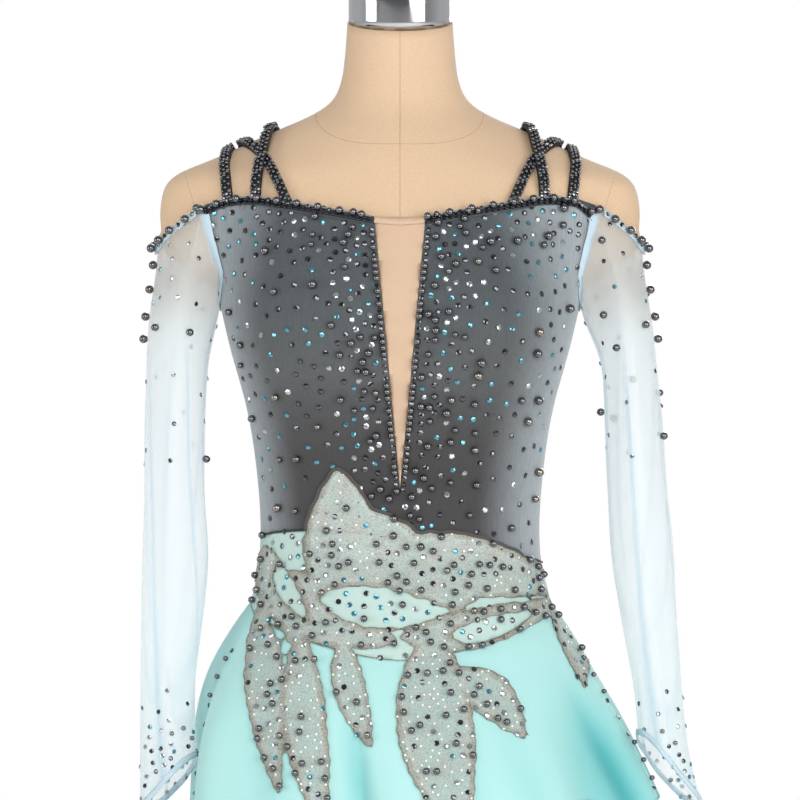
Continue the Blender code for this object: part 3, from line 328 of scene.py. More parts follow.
# upright streaks, as the mesh is ribbed along its length. Real ribs are finer and wouldn't show
rib = grain(tree, 1.3, 3.0, (1, 1, 0.05))
streak = add(tree, "ShaderNodeMath", {0: rib, 1: 0.60, 2: 0.72}, operation="MULTIPLY_ADD")
toned = add(tree, "ShaderNodeVectorMath", {0: shaded, "Scale": streak}, operation="SCALE")
relief = add(tree, "ShaderNodeBump", {"Height": grain(tree, 0.6, 1.0), "Distance": 0.05 * MM})
fill(tree, shader, {"Base Color": toned, "Normal": relief})
print(mesh_cloth.name, "has", len(tree.nodes), "nodes")

# %% [markdown]
# ### Insert, basque and skirt cloth
# The insert is skin-coloured mesh and the basque a smooth pale stretch knit. The chiffon skirt lets light
# glow through it, so a part of its look is translucent, and its folds are darker, partly because the layers
# under them show through and partly from painted shade.

# %% Insert, basque and skirt cloth
nude, tree, shader = material("nude stretch mesh", "#c8ab90", 0.8, Sheen_Weight=0.2)
# a mesh of about 0.5 mm takes off the shine
relief = add(tree, "ShaderNodeBump", {"Height": grain(tree, 0.5, 1.0), "Distance": 0.05 * MM})
fill(tree, shader, {"Normal": relief})
knit = material("pale aqua stretch knit", "#afc8c1", 0.6, Sheen_Weight=0.2)[0]  # smooth, even and dull

CREPE = 1.1  # mm between the crinkles of chiffon. Real ones are finer and wouldn't show
chiffon, tree, shader = material("aqua chiffon", "#b8efeb", 0.62, Sheen_Weight=0.25)
shade = add(tree, "ShaderNodeAttribute", out="Fac", attribute_name="shade")
# pale where a single layer hangs free, deep in the folds and beside the front panel's edges with painted
# shade
stops = [(0.0, "#beeeeb"), (0.5, "#8dd7d6"), (1.0, "#4db4b6")]
tone = add(tree, "ShaderNodeValToRGB", {"Fac": shade}, stops)
relief = add(tree, "ShaderNodeBump", {"Height": grain(tree, CREPE), "Distance": 0.04 * MM})
fill(tree, shader, {"Base Color": tone, "Normal": relief})
see_through(tree, shader, 0.0, 0.25, "#a6e6e2")

# the under layer lies in shade, so it has one deeper colour as painted shade
shaded_chiffon, tree, shader = material("shaded aqua chiffon", "#7fd2d2", 0.62, Sheen_Weight=0.25)
relief = add(tree, "ShaderNodeBump", {"Height": grain(tree, CREPE), "Distance": 0.04 * MM})
fill(tree, shader, {"Normal": relief})
see_through(tree, shader, 0.0, 0.25, "#6cc5bf")
print(len(bpy.data.materials), "materials so far")

# %% [markdown]
# ### Sleeve mesh and edgings
# One layer of the sleeve mesh is nearly clear. Where it doubles up along the seam it is bluer and lets
# less light past, and in the fold valleys the same bluer, denser look is partly doubled mesh and partly
# painted shade. It also veils the end of the form's arm cap. The edgings are bound several layers thick,
# so they are opaque.

# %% Sleeve mesh and edgings
sheer, tree, shader = material("ice blue sheer mesh", "#e6f1f7", 0.6, Sheen_Weight=0.2)
folded = add(tree, "ShaderNodeAttribute", out="Fac", attribute_name="folded")
veil = add(tree, "ShaderNodeAttribute", out="Fac", attribute_name="veil")
# white cloth with pale blue streaks where it is double, partly painted shade in the fold valleys
tone = add(tree, "ShaderNodeValToRGB", {"Fac": folded}, [(0.0, "#f4fcff"), (1.0, "#b9d9ec")])
# the arm cap below colours it a warm grey, fading downward
warm = add(tree, "ShaderNodeMixRGB", {"Fac": veil, "Color1": tone, "Color2": "#cdc9c3"})
fill(tree, shader, {"Base Color": warm})
# two thirds of the light passes one layer, and less where it is double, in the painted-shade valleys, and
# where it veils the cap
single = add(tree, "ShaderNodeMath", {0: folded, 1: -0.36, 2: 0.66}, operation="MULTIPLY_ADD")
clear = add(tree, "ShaderNodeMath", {0: veil, 1: -0.26, 2: single}, operation="MULTIPLY_ADD")
see_through(tree, shader, clear, 0.6, "#fafeff")

edging = material("ice blue edging", "#b4cbd6", 0.6, Sheen_Weight=0.2)[0]  # a pale line round the sleeves
dark_edge = material("charcoal binding", "#3c4144", 0.6, Sheen_Weight=0.2)[0]  # a dark line along the neck
piping = material("slate piping", "#7c898e", 0.6, Sheen_Weight=0.2)[0]  # a lighter line above the bugles
braid = material("black braid", "#17181a", 0.55)[0]  # dull black under the beads
cord = material("brown-black cord", "#45403d", 0.7, Sheen_Weight=0.2)[0]  # a soft dark outline
print(len(bpy.data.materials), "materials so far")

# %% [markdown]
# ### Lace
# The lace is net filled in with thread and edged with a band of dense stitches. The depth at each point,
# from the open edge inward, puts that band in the right place, and a fine noise frays it. The net is more
# open on the tongues, so more of the skirt shows through there.

# %% Lace
lace, tree, shader = material("grey lace net", "#9fa69d", 0.8, Sheen_Weight=0.2)
depth = add(tree, "ShaderNodeAttribute", out="Fac", attribute_name="depth")
airy = add(tree, "ShaderNodeAttribute", out="Fac", attribute_name="airy")
# the net's holes are about 1 mm across
speckle = grain(tree, 1.1, 3.0)
frayed = add(tree, "ShaderNodeMath", {0: speckle, 1: 0.40, 2: depth}, operation="MULTIPLY_ADD")
# a border of brown-grey stitches that thins out inward
stops = [(0.14, "#7d756e"), (0.26, "#aea69e"), (0.40, "#cbc6c0"), (0.68, "#e0dcd7"), (0.90, "#ffffff")]
stitching = add(tree, "ShaderNodeValToRGB", {"Fac": frayed}, stops)
# cloudy green-grey and beige-grey patches, 16 mm across
stops = [(0.44, "#cbd9d3"), (0.78, "#cfccc4")]
ground = add(tree, "ShaderNodeValToRGB", {"Fac": grain(tree, 16)}, stops)
# single threads catch the light
stops = [(0.34, "#c8c8c5"), (0.48, "#f3f3f1"), (0.62, "#ffffff")]
threads = add(tree, "ShaderNodeValToRGB", {"Fac": speckle}, stops)
filled = {"Fac": 1.0, "Color1": ground, "Color2": threads}
inside = add(tree, "ShaderNodeMixRGB", filled, blend_type="MULTIPLY")
bordered = {"Fac": 1.0, "Color1": inside, "Color2": stitching}
blend = add(tree, "ShaderNodeMixRGB", bordered, blend_type="MULTIPLY")
relief = add(tree, "ShaderNodeBump", {"Height": speckle, "Distance": 0.4 * MM})
fill(tree, shader, {"Base Color": blend, "Normal": relief})
# what lies below shows through the net, more on the tongues and not at all at the stitched edge
holes = add(tree, "ShaderNodeMath", {0: airy, 1: 0.21, 2: 0.34}, operation="MULTIPLY_ADD")
clear = add(tree, "ShaderNodeMath", {0: depth, 1: holes}, operation="MULTIPLY")
see_through(tree, shader, clear)
print(len(bpy.data.materials), "materials so far")

# %% [markdown]
# ### Beads and stones
# The pearls are glass with a dark metal-like coat, so they are metallic under a strong clear layer that
# gives each one a small white light. The stones are cut glass with foil behind, which a smooth part-metal
# imitates: each flat facet shows one patch of the room.

# %% Beads and stones
PEARL = {"Metallic": 1.0, "Coat_Weight": 1.0, "Coat_IOR": 2.25}
BEAD_LOOKS = {
    "hematite": material("hematite pearl", "#2a2833", 0.07, **PEARL)[0],  # near black with a violet cast
    "bronze": material("bronze pearl", "#6a5f54", 0.07, **PEARL)[0],  # the same with a warm cast
    "black": material("black stone", "#66666b", 0.06, Metallic=1.0)[0],  # dark with single bright facets
    "bugle": material("black bugle", "#3e3e44", 0.10, Metallic=1.0)[0],  # a thin streak of light each
    "crystal": material("clear stone", "#b0b6ba", 0.06, Metallic=0.75)[0],  # white sparkle
    "aqua": material("aqua stone", "#659dae", 0.06, Metallic=0.75)[0],  # blue sparkle
    "dot": material("white sequin", "#eef2f0", 0.25)[0],  # a dull white point
}
print(len(bpy.data.materials), "materials")

# %% [markdown]
# ## Pieces and narrow trims
# Every visible piece rides on the part's one body and hides the solid that it stands for, if any. Bindings,
# braids and cords are narrow bands of cloth, so one function carries a small section along a path on the
# dress.

# %% Helpers for pieces
def piece(name, mesh, look, stands_for=(), thickness=0.0, offset=-1.0):
    """A finished piece on the root body. A thickness makes a sheet of it."""
    obj = bpy.data.objects.new(name, mesh)
    scene.collection.objects.link(obj)
    mesh.materials.clear()
    mesh.materials.append(look)
    mesh.shade_smooth()
    if thickness:
        wall = obj.modifiers.new("Solidify", "SOLIDIFY")
        wall.thickness = thickness
        wall.offset = offset
    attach(obj, "root")
    if stands_for:
        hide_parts(*stands_for)
    return obj


def run(path, section, closed=False):
    """A section carried along points with facings: (across, out) pairs in metres."""
    made = bmesh.new()
    rings = []
    last = len(path) - 1
    for i, (place, facing) in enumerate(path):
        after = path[(i + 1) % len(path)][0] if closed or i < last else place
        before = path[i - 1][0] if closed or i > 0 else place
        across = (after - before).cross(facing).normalized()
        rings.append([made.verts.new(place + across * a + facing * b) for a, b in section])
    pairs = list(zip(rings, rings[1:]))
    if closed:
        pairs.append((rings[-1], rings[0]))
    else:
        made.faces.new(rings[0])
        made.faces.new(rings[-1])
    for low, high in pairs:
        for j in range(len(section)):
            k = (j + 1) % len(section)
            made.faces.new((low[j], low[k], high[k], high[j]))
    bmesh.ops.recalc_face_normals(made, faces=made.faces[:])
    return made


def finished(*parts):
    """One mesh of several bmesh parts."""
    mesh = bpy.data.meshes.new("part")
    whole = bmesh.new()
    for part in parts:
        part.to_mesh(mesh)
        whole.from_mesh(mesh)
        part.free()
    whole.to_mesh(mesh)
    whole.free()
    return mesh


def band(width, low, high):
    """A flat section with softened upper corners."""
    half = width / 2
    soft = min(half, (high - low)) * 0.35
    return [(-half, low), (half, low), (half, high - soft),
            (half - soft, high), (soft - half, high), (-half, high - soft)]


print("a 2 mm band has", len(band(2 * MM, 0.0, 1 * MM)), "corners")

# %% [markdown]
# ## The form
# The form is foam under tightly drawn linen, sewn from panels. Its seams show as thin sunken lines with
# small puckers, so each is laid as a fine dark thread on the skin. A chrome cap closes the neck, and the
# stand, which the photo doesn't show, stays plain.

# %% The form
piece("torso", torso_mesh, linen, ["form_torso"])
piece("neck_cap", rounded(quads(solid("form_neck_cap")), 2), chrome, ["form_neck_cap"])
piece("pole", rounded(quads(solid("form_pole")), 1), paint, ["form_pole"])
piece("foot", rounded(quads(solid("form_base")), 2), paint, ["form_base"])

SEAM = [(-0.5 * MM, -0.4 * MM), (0.5 * MM, -0.4 * MM), (0.0, 0.25 * MM)]  # a low ridge, 1 mm wide
STEP = 4 * MM  # between the points of a path up or down the dress
NECK_TOP = 1.455
seams = []
# the middle seams, from the dress's neck edge up, in front and behind
for angle, dress_edge in ((0.0, NECK_FRONT), (math.pi, NECK_BACK)):
    seams.append(run([toward(torso, angle, z) for z in np.arange(dress_edge, NECK_TOP, STEP)], SEAM))
# the seam round the foot of the neck, lower in front
neck_base = []
for angle in np.linspace(-math.pi, math.pi, 72, endpoint=False):
    height = 1.388 - 0.028 * smooth(math.cos(angle)) + 0.006 * smooth(-math.cos(angle))
    neck_base.append(toward(torso, angle, height))
seams.append(run(neck_base, SEAM, closed=True))
# the seams where the arm caps are set in, up the front and down the back
CAP_FOOT, CAP_TOP = 1.262, 1.342
up_and_down = [(-1, z) for z in np.arange(CAP_FOOT, CAP_TOP, STEP)]
up_and_down += [(1, z) for z in np.arange(CAP_TOP - STEP, CAP_FOOT, -STEP)]
for side in (-1, 1):
    arm_seam = [ahead([torso], side * (0.1545 + 0.3 * (z - 1.27)), z, facing) for facing, z in up_and_down]
    seams.append(run([spot for spot in arm_seam if spot], SEAM))
form_seams = piece("form_seams", finished(*seams), seam_look)
print(len(form_seams.data.polygons), "faces in the form's seams")

# %% [markdown]
# ## Bodice, insert and basque
# These panels are stretch cloth drawn tight over the form. Each is cut flat like its solid's outer skin,
# ruled into small cells and then laid on the torso, so that it follows the bust and waist without a
# wrinkle. The dark mesh is shaded: nearly black in the middle and pale at the sides.

# %% Bodice, insert and basque
CHART = 0.12  # the body's mean radius, which turns an angle into a length on the flat
CELL = 5 * MM


def laid_panel(name, middle):
    """The panel named, as a fine mesh lying on the torso, with its own flat map."""
    cut = outer_skin(name)
    for vert in cut.verts:
        turned = (angle_of(vert.co) - middle + math.pi) % (2 * math.pi) - math.pi
        vert.co = (turned * CHART, vert.co.z, 0.0)
    bmesh.ops.dissolve_faces(cut, faces=cut.faces[:])
    for axis in (0, 1):
        low = min(v.co[axis] for v in cut.verts)
        high = max(v.co[axis] for v in cut.verts)
        way = Vector((axis == 0, axis == 1, 0))
        for i in range(math.ceil(low / CELL), math.floor(high / CELL) + 1):
            geom = cut.verts[:] + cut.edges[:] + cut.faces[:]
            bmesh.ops.bisect_plane(cut, geom=geom, dist=0.01 * MM, plane_co=way * i * CELL, plane_no=way)
    chart = cut.loops.layers.uv.new("chart")
    for face in cut.faces:
        for loop in face.loops:
            loop[chart].uv = loop.vert.co.xy
    for vert in cut.verts:
        vert.co = toward(torso, middle + vert.co.x / CHART, vert.co.y, LIFT)[0]
    face_outward(cut)
    return as_mesh(cut, name)


def attribute(mesh, name, value):
    """A value at each point, for the shader to read."""
    layer = mesh.attributes.new(name, "FLOAT", "POINT")
    layer.data.foreach_set("value", [value(v.co) for v in mesh.vertices])


FADE_FROM = (0.76, 0.62)  # the paling starts nearer the front on the wearer's left, as painted light from the side lamp there
FADE_TO = 1.12
DARK_BELOW, LIGHT_ABOVE = 1.09, 1.27


def paling(co):
    """How far a point has gone round the side, where the mesh pales with painted sheen and light."""
    return smooth(abs(math.sin(angle_of(co))), FADE_FROM[co.x > 0], FADE_TO)


PANELS = [  # piece, middle of its chart, cloth
    ("bodice_front", 0, mesh_cloth), ("bodice_back", math.pi, mesh_cloth), ("front_insert", 0, nude),
    ("basque_front", 0, knit), ("basque_back", math.pi, knit),
]
panels = {}
for name, middle, look in PANELS:
    mesh = laid_panel(name, middle)
    if look is mesh_cloth:
        attribute(mesh, "fade", paling)
        attribute(mesh, "rise", lambda co: smooth(co.z, DARK_BELOW, LIGHT_ABOVE))
    panels[name] = piece(name + "_cloth", mesh, look, [name], 1.0 * MM)
    print(name, len(mesh.polygons), "faces")

# %% [markdown]
# ## Skirts
# Two layers of chiffon are gathered very little and hang from the hip seam in soft flutes. The solids
# give the flutes. The fine sheets add a few folds at the places where the photo has them, and shallow
# ripples that die out toward the seam. The front panel's two side edges have a narrow rolled hem.

# %% Skirts
FOLDS = [  # degrees from the front, half width in degrees, depth in mm
    (-16, 4.5, 6), (69, 4.2, 6.5), (-44, 7, 2), (19, 8, 2), (38, 6, 2), (88, 5, 3), (-92, 5, 4),
    (106, 6, 5), (127, 5, 5), (151, 7, 6), (178, 5, 5), (203, 7, 6), (229, 5, 5), (254, 6, 4),
]
FOLD_SLANT, FOLD_HEIGHT = 60, 0.87  # folds lean, by degrees a metre, and stand as listed at this height
FOLD_TOP = 0.950
PANEL_EDGES = (-74.0, 80.0)  # degrees from the front
PANEL_TOP, PANEL_FOOT = 0.952, 0.76


def fold(degrees, height):
    """How far a fold draws the skirt in, in metres. Folds deepen from the hip to the hem."""
    depth = 0.0
    for middle, width, most in FOLDS:
        off = (degrees - middle + 180) % 360 - 180 + FOLD_SLANT * (height - FOLD_HEIGHT)
        depth += most * MM * math.exp(-((off / width) ** 2))
    return depth * smooth(FOLD_TOP - height, 0.0, 0.11)


def hung_skirt(name, ripple, seed):
    """A skirt's sheet with its folds and its own ripples, a ripple high in metres."""
    mesh = rounded(quads(outer_skin(name)), 3)
    top = max(v.co.z for v in mesh.vertices)
    turns = random.Random(seed)
    waves = [(turns.randint(14, 40), turns.uniform(0, 6.28), turns.uniform(0.3, 1.0)) for _ in range(5)]
    for vert in mesh.vertices:
        angle = angle_of(vert.co)
        out = Vector((vert.co.x, vert.co.y, 0)).normalized()
        swing = sum(size * math.sin(count * angle + start + 14 * vert.co.z) for count, start, size in waves)
        vert.co += out * ripple * swing * smooth(top - vert.co.z, 0.03, 0.20)
        vert.co -= out * fold(math.degrees(angle), vert.co.z)
    return mesh


FOLD_SHADE = 80  # a fold 12.5 mm deep is fully shaded


def overlay_shade(co):
    """Painted shade, 0 on the plain front, up to 1 in folds and just behind the front panel's edges."""
    degrees = math.degrees(angle_of(co))
    left, right = PANEL_EDGES
    behind = max(left - degrees, degrees - right)
    past = 0.0
    # behind the front panel's edges the back layer is a little deeper, with a painted shadow close to the
    # edge
    if behind > 0:
        past = 0.08 + 0.55 * math.exp(-behind / 6) * smooth(FOLD_TOP - co.z, 0.02, 0.12)
    # the front turns away from the light beside its deepest fold
    turned = 0.55 * math.exp(-((degrees - 66) / 13) ** 2) * smooth(FOLD_TOP - co.z, 0.0, 0.09)
    return min(1.0, past + turned + FOLD_SHADE * fold(degrees, co.z))


outer_mesh = hung_skirt("skirt_outer", 0.35 * MM, 3)
attribute(outer_mesh, "shade", overlay_shade)
skirt = tree_of(outer_mesh)
skirt_piece = piece("skirt_overlay", outer_mesh, chiffon, ["skirt_outer"], 0.8 * MM)
under_mesh = hung_skirt("skirt_under", 0.6 * MM, 8)
under_piece = piece("skirt_lower", under_mesh, shaded_chiffon, ["skirt_under"], 0.8 * MM)
hems = []
for degrees in PANEL_EDGES:
    edge = [toward(skirt, math.radians(degrees), z) for z in np.arange(PANEL_TOP, PANEL_FOOT, -STEP)]
    edge = [spot for spot in edge if spot]
    hems.append(run(edge, band(2.2 * MM, -0.4 * MM, 0.5 * MM)))
hem_mesh = finished(*hems)
attribute(hem_mesh, "shade", lambda co: 0.0)
panel_hems = piece("skirt_panel_hems", hem_mesh, chiffon)
print("skirts", len(outer_mesh.polygons), len(under_mesh.polygons))

# %% [markdown]
# ## Sleeves
# A real sleeve is one piece of sheer mesh, seamed along the inner arm, and it hangs empty below the short
# arm cap. Moving the points of the tube along its radius gives the long folds that run down it and the
# bends at the elbow. Two values at the points tell the shader where the mesh is double, where the fold
# valleys get painted shade, and where the cap is.

# %% Sleeves
ARM_X = 0.19
FOLDS_ROUND = 3.5  # gives seven valleys round the arm


def turn_round_arm(co, side):
    return math.atan2(co.x - side * ARM_X, -co.y)


def sleeve_fold(turn, height, side):
    """Sharp valleys and round ridges down the sleeve, from -0.7 to 0.3."""
    return abs(math.sin(FOLDS_ROUND * turn + 5 * height + side)) ** 0.6 - 0.7


def sleeve_doubling_and_shade(co, side):
    """How much the mesh is bluer and denser: doubled mesh and painted shade in the valleys, doubled mesh
    along the seam under the arm.
    """
    turn = turn_round_arm(co, side)
    valley = smooth(-sleeve_fold(turn, co.z, side), 0.10, 0.62) * smooth(1.25 - co.z, 0.0, 0.12)
    seam = math.exp(-(((turn + side * 1.25) / 0.22) ** 2)) * smooth(1.235 - co.z, 0.0, 0.03)
    return min(1.0, 0.8 * valley + 0.9 * seam)


sleeves = {}
for side, name in ((1, "sleeve_left"), (-1, "sleeve_right")):
    mesh = rounded(quads(outer_skin(name)), 3)
    for vert in mesh.vertices:
        # the folds die out toward the armhole and the cuff
        down = smooth(1.24 - vert.co.z, 0.0, 0.10) * smooth(vert.co.z - 0.84, 0.0, 0.05)
        turn = turn_round_arm(vert.co, side)
        long_folds = sleeve_fold(turn, vert.co.z, side)
        bends = math.sin(2 * turn + 42 * vert.co.z) * smooth(abs(vert.co.z - 1.06), 0.10, 0.0)
        low = smooth(1.05 - vert.co.z, 0.0, 0.2)
        middle = Vector((side * 0.195, 0, vert.co.z))
        swing = (1.1 + 1.4 * low) * long_folds + 0.9 * bends
        vert.co += (vert.co - middle).normalized() * MM * swing * down
    attribute(mesh, "folded", lambda co: sleeve_doubling_and_shade(co, side))
    attribute(mesh, "veil", lambda co: smooth(co.z, 1.195, 1.250) * (1 - 0.5 * smooth(co.z, 1.25, 1.28)))
    sleeves[name] = (piece(name + "_cloth", mesh, sheer, [name], 0.5 * MM), tree_of(mesh))
    print(name, len(mesh.polygons), "faces")

# %% [markdown]
# ## Lace
# The lace is one net shape of overlapping leaves: a band round the hips, a peak over the bodice and
# tongues down the skirt, with windows cut in the band. Each leaf is a line with a width and a bow, and
# from the leaves and windows a depth is worked out for any point: how far it is inside the lace.

# %% The shape of the lace
LEAVES = [  # from x, from z, to x, to z, width, bow
    (-0.018, 1.030, 0.134, 1.000, 0.050, -0.004), (-0.080, 0.996, 0.066, 0.997, 0.056, 0.002),
    (-0.115, 1.010, -0.002, 0.958, 0.050, 0.004), (0.000, 0.962, 0.136, 0.992, 0.032, 0.006),
    (-0.111, 1.034, -0.078, 0.950, 0.034, 0.002), (-0.046, 0.985, -0.050, 1.100, 0.064, 0.003),
    (0.018, 0.990, -0.036, 1.068, 0.048, 0.006), (-0.108, 0.995, -0.096, 0.836, 0.032, 0.006),
    (-0.080, 0.965, -0.058, 0.806, 0.036, 0.006), (-0.046, 0.962, -0.022, 0.874, 0.027, 0.005),
    (0.024, 0.966, 0.052, 0.800, 0.062, 0.008), (0.044, 0.936, 0.100, 0.882, 0.034, -0.006),
    (0.122, 1.002, 0.150, 0.920, 0.024, -0.004),
]
WINDOWS = [  # the same for the openings
    (-0.064, 0.994, 0.040, 0.983, 0.032, 0.003), (0.040, 0.963, 0.108, 0.984, 0.018, 0.004),
    (-0.100, 1.020, -0.073, 0.976, 0.016, 0.002), (-0.104, 0.978, -0.086, 0.950, 0.006, 0.001),
]


def leaf_depth(leaf, x, z):
    """How far a point seen from the front is inside a leaf; negative outside."""
    x0, z0, x1, z1, width, bow = leaf
    length = math.hypot(x1 - x0, z1 - z0)
    dx, dz = (x1 - x0) / length, (z1 - z0) / length
    along = ((x - x0) * dx + (z - z0) * dz) / length
    if along <= 0 or along >= 1:
        return -min(math.hypot(x - x0, z - z0), math.hypot(x - x1, z - z1))
    off = (x - x0) * dz - (z - z0) * dx - bow * 4 * along * (1 - along)
    return width / 2 * math.sin(math.pi * along ** 0.8) ** 0.8 - abs(off)


def lace_depth(x, z):
    """How far a point is inside the lace, with a slightly wavy edge; negative outside."""
    inside = max(leaf_depth(leaf, x, z) for leaf in LEAVES)
    outside = max(leaf_depth(leaf, x, z) for leaf in WINDOWS)
    wave = 0.5 * MM * (math.sin(x * 420 + z * 160) + math.sin(z * 510 - x * 230))
    return min(inside, -outside) + wave


print(len(LEAVES), "leaves and", len(WINDOWS), "windows")

# %% [markdown]
# ## Laying the lace
# A fine grid is laid over the dress. Its faces outside the lace are dropped, and the points on the open
# edge are moved to where the depth is zero, so the edge is smooth at any size of the grid.

# %% Laying the lace
BORDER = 8.0 * MM
LACE_GRID = 1.8 * MM
LACE_LIFT = 1.1 * MM
LACE_MIDDLE, LACE_TALL, LACE_TURN = 0.950, 0.325, math.radians(86)


def dress_point(angle, height, lift):
    """A point over whichever is farther out, the panel or the skirt."""
    body = toward(torso, angle, height, LIFT + lift)
    over = toward(skirt, angle, height, lift)
    if over and Vector(over[0].xy).length > Vector(body[0].xy).length:
        return over
    return body


def to_edge(place):
    """A point moved down the slope of the depth to zero, if that is near, and else the point as it was."""
    step = 0.4 * MM
    here = lace_depth(place.x, place.z)
    slope_x = (lace_depth(place.x + step, place.z) - here) / step
    slope_z = (lace_depth(place.x, place.z + step) - here) / step
    steep = slope_x ** 2 + slope_z ** 2
    if steep <= 0.05 or abs(here) >= 3 * MM:
        return place
    x, z = place.x - slope_x * here / steep, place.z - slope_z * here / steep
    spots = [spot for spot in (ahead([torso], x, z, lift=LIFT), ahead([skirt], x, z)) if spot]
    if not spots:
        return place
    seat, normal = min(spots, key=lambda spot: spot[0].y)
    moved = seat + normal * LACE_LIFT
    return moved if (moved - place).length < 3 * LACE_GRID else place


net = bmesh.new()
wide = 2 * LACE_TURN * CHART
columns, lines = round(wide / LACE_GRID), round(LACE_TALL / LACE_GRID)
bmesh.ops.create_grid(net, x_segments=columns, y_segments=lines, size=0.5)
depths = {}
for vert in net.verts:
    angle, height = vert.co.x * wide / CHART, LACE_MIDDLE + vert.co.y * LACE_TALL
    place, _ = dress_point(angle, height, LACE_LIFT)
    depths[vert] = lace_depth(place.x, place.z)
    vert.co = place
outside = [face for face in net.faces if sum(depths[vert] > 0 for vert in face.verts) < 2]
bmesh.ops.delete(net, geom=outside, context="FACES")
for _ in range(3):
    for vert in net.verts:
        if vert.is_boundary:
            vert.co = to_edge(vert.co)
face_outward(net)
lace_rims = rims(net)
lace_mesh = as_mesh(net, "lace")
attribute(lace_mesh, "depth", lambda co: min(1.0, max(0.0, lace_depth(co.x, co.z) / BORDER)))
attribute(lace_mesh, "airy", lambda co: smooth(1.032 - co.z, 0.0, 0.02))
lace_piece = piece("lace_net", lace_mesh, lace, ["lace_applique"], 0.7 * MM, 0.0)
print("lace", len(lace_mesh.polygons), "faces,", len(lace_rims), "edges")

# %% [markdown]
# ## Bound edges
# The neck is bound in charcoal, and the sleeves' tops and cuffs in ice blue. These bindings have solids
# of their own. The narrow black braid that ends the dark bodice at the waist is carried along the
# panels' own rims, so it lies exactly on their edge.

# %% Bound edges
neck_tapes = []
for name in ("neck_binding_left", "neck_binding_right", "neck_binding_back"):
    neck_tapes.append(piece(name + "_tape", rounded(solid(name), 1), dark_edge, [name]))
edge_tapes = {"left": [], "right": []}
for place in ("sleeve", "cuff"):
    for side, tapes in edge_tapes.items():
        name = f"{place}_binding_{side}"
        tapes.append(piece(name + "_tape", rounded(solid(name), 1), edging, [name]))
insert_tape = piece("insert_tape", rounded(solid("insert_binding"), 1), nude, ["insert_binding"])


def rim_heights(name, wanted, low=-math.pi):
    """The wanted part of a panel's rim, as angles counted up from the low one and the heights there."""
    rim = [p for p in itertools.chain(*rims_of(name)) if wanted(p)]
    turns = [(angle_of(p) - low) % (2 * math.pi) + low for p in rim]
    return tuple(zip(*sorted(zip(turns, (p.z for p in rim)))))


def on_waist(place):
    """Whether a rim point is on the lower edge, clear of the side seams."""
    return place.z < 1.06 and abs(place.y) > 3 * MM


waist = rim_heights("bodice_front", on_waist)
waist_back = rim_heights("bodice_back", on_waist, low=0.0)
BRAID = band(1.6 * MM, -0.8 * MM, 0.3 * MM)
trims = []
for rim, low, high in ((waist, -89, 89.5), (waist_back, 91, 269.5)):
    path = []
    for angle in np.radians(np.arange(low, high, 1.5)):
        path.append(toward(torso, angle, np.interp(angle, *rim) + 0.4 * MM, LIFT + 0.9 * MM))
    trims.append(run(path, BRAID))
waist_braid = piece("waist_braid", finished(*trims), braid)
print(len(waist_braid.data.polygons), "faces in the waist braid")

# %% [markdown]
# ## The cord on the lace
# A dark cord is stitched round the part of the lace that lies on the bodice. It follows the lace's rim,
# smoothed over five points, because a cord bends less sharply than the net's edge.

# %% The cord on the lace
CORD = band(2.8 * MM, -0.9 * MM, 0.9 * MM)
cords = []
for loop in lace_rims:
    on_dark = [p.z > np.interp(angle_of(p), *waist) + 1.0 * MM for p in loop]
    if all(on_dark) or not any(on_dark):
        continue
    start = on_dark.index(False)
    loop = loop[start:] + loop[:start]
    on_dark = on_dark[start:] + on_dark[:start]
    path = []
    for i, dark in enumerate([*on_dark, False]):
        if dark:
            around = [loop[(i + k) % len(loop)] for k in (-2, -1, 0, 1, 2)]
            place = sum(around, Vector()) / 5
            path.append((place, torso.find_nearest(place)[1]))
        else:
            if len(path) > 6:
                cords.append(run(path, CORD))
            path = []
lace_cord = piece("lace_cord", finished(*cords), cord)
print(len(cords), "cords on the lace")

# %% [markdown]
# ## Armhole bands
# The bodice's own edges beside the sleeves are bound in the sleeves' ice blue. A band runs down each, read
# off the panel's rim from its top to just below the arm.

# %% Armhole bands
ARMHOLE_HALF = 17.0  # degrees either way from the side
ARMHOLE_FOOT = 1.228
ARM_BAND = band(8.0 * MM, -0.5 * MM, 0.4 * MM)
arm_bands = []
arm_tops = {}
for name, facing in (("bodice_front", 1), ("bodice_back", -1)):
    rim = list(itertools.chain(*rims_of(name)))
    for side in (-1, 1):
        edge = [(p.z, math.degrees(angle_of(p))) for p in rim if p.z > ARMHOLE_FOOT]
        edge = [(z, turn) for z, turn in edge if abs(side * turn - 90) < ARMHOLE_HALF]
        heights, turns = zip(*sorted(edge))
        path = []
        for height in np.linspace(heights[-1], heights[0], 36):
            turn = np.interp(height, heights, turns) + side * facing * 0.9
            path.append(toward(torso, math.radians(turn), height, LIFT + 1.0 * MM))
        arm_bands.append(run(path, ARM_BAND))
        arm_tops[facing, side] = path[0]
arm_trim = piece("armhole_bands", finished(*arm_bands), edging)
print(len(arm_bands), "armhole bands")

# %% [markdown]
# ## Straps
# Three narrow straps a side cross over each shoulder. Each is a black braid covered with small beads, so
# the strap's solid is the plain core and three rows of beads lie on it. A bead in seven is clear.

# %% Straps
beads = defaultdict(list)  # for each kind: place, facing, size and the way it points
STRAP_HUB = 1.290  # the straps go round this height from front to back
STRAP_PITCH, STRAP_ROW, STRAP_BEAD = 2.6 * MM, 2.9 * MM, 2.8 * MM


def strap_path(name):
    """The middle of a strap, read off its ring corners in turn over the shoulder."""
    shell = solid(name)
    ordered = sorted((v.co.copy() for v in shell.verts), key=lambda p: math.atan2(p.z - STRAP_HUB, -p.y))
    shell.free()
    path = []
    for i in range(0, len(ordered), 4):
        place = sum(ordered[i:i + 4], Vector()) / 4
        path.append((place, torso.find_nearest(place)[1]))
    return path


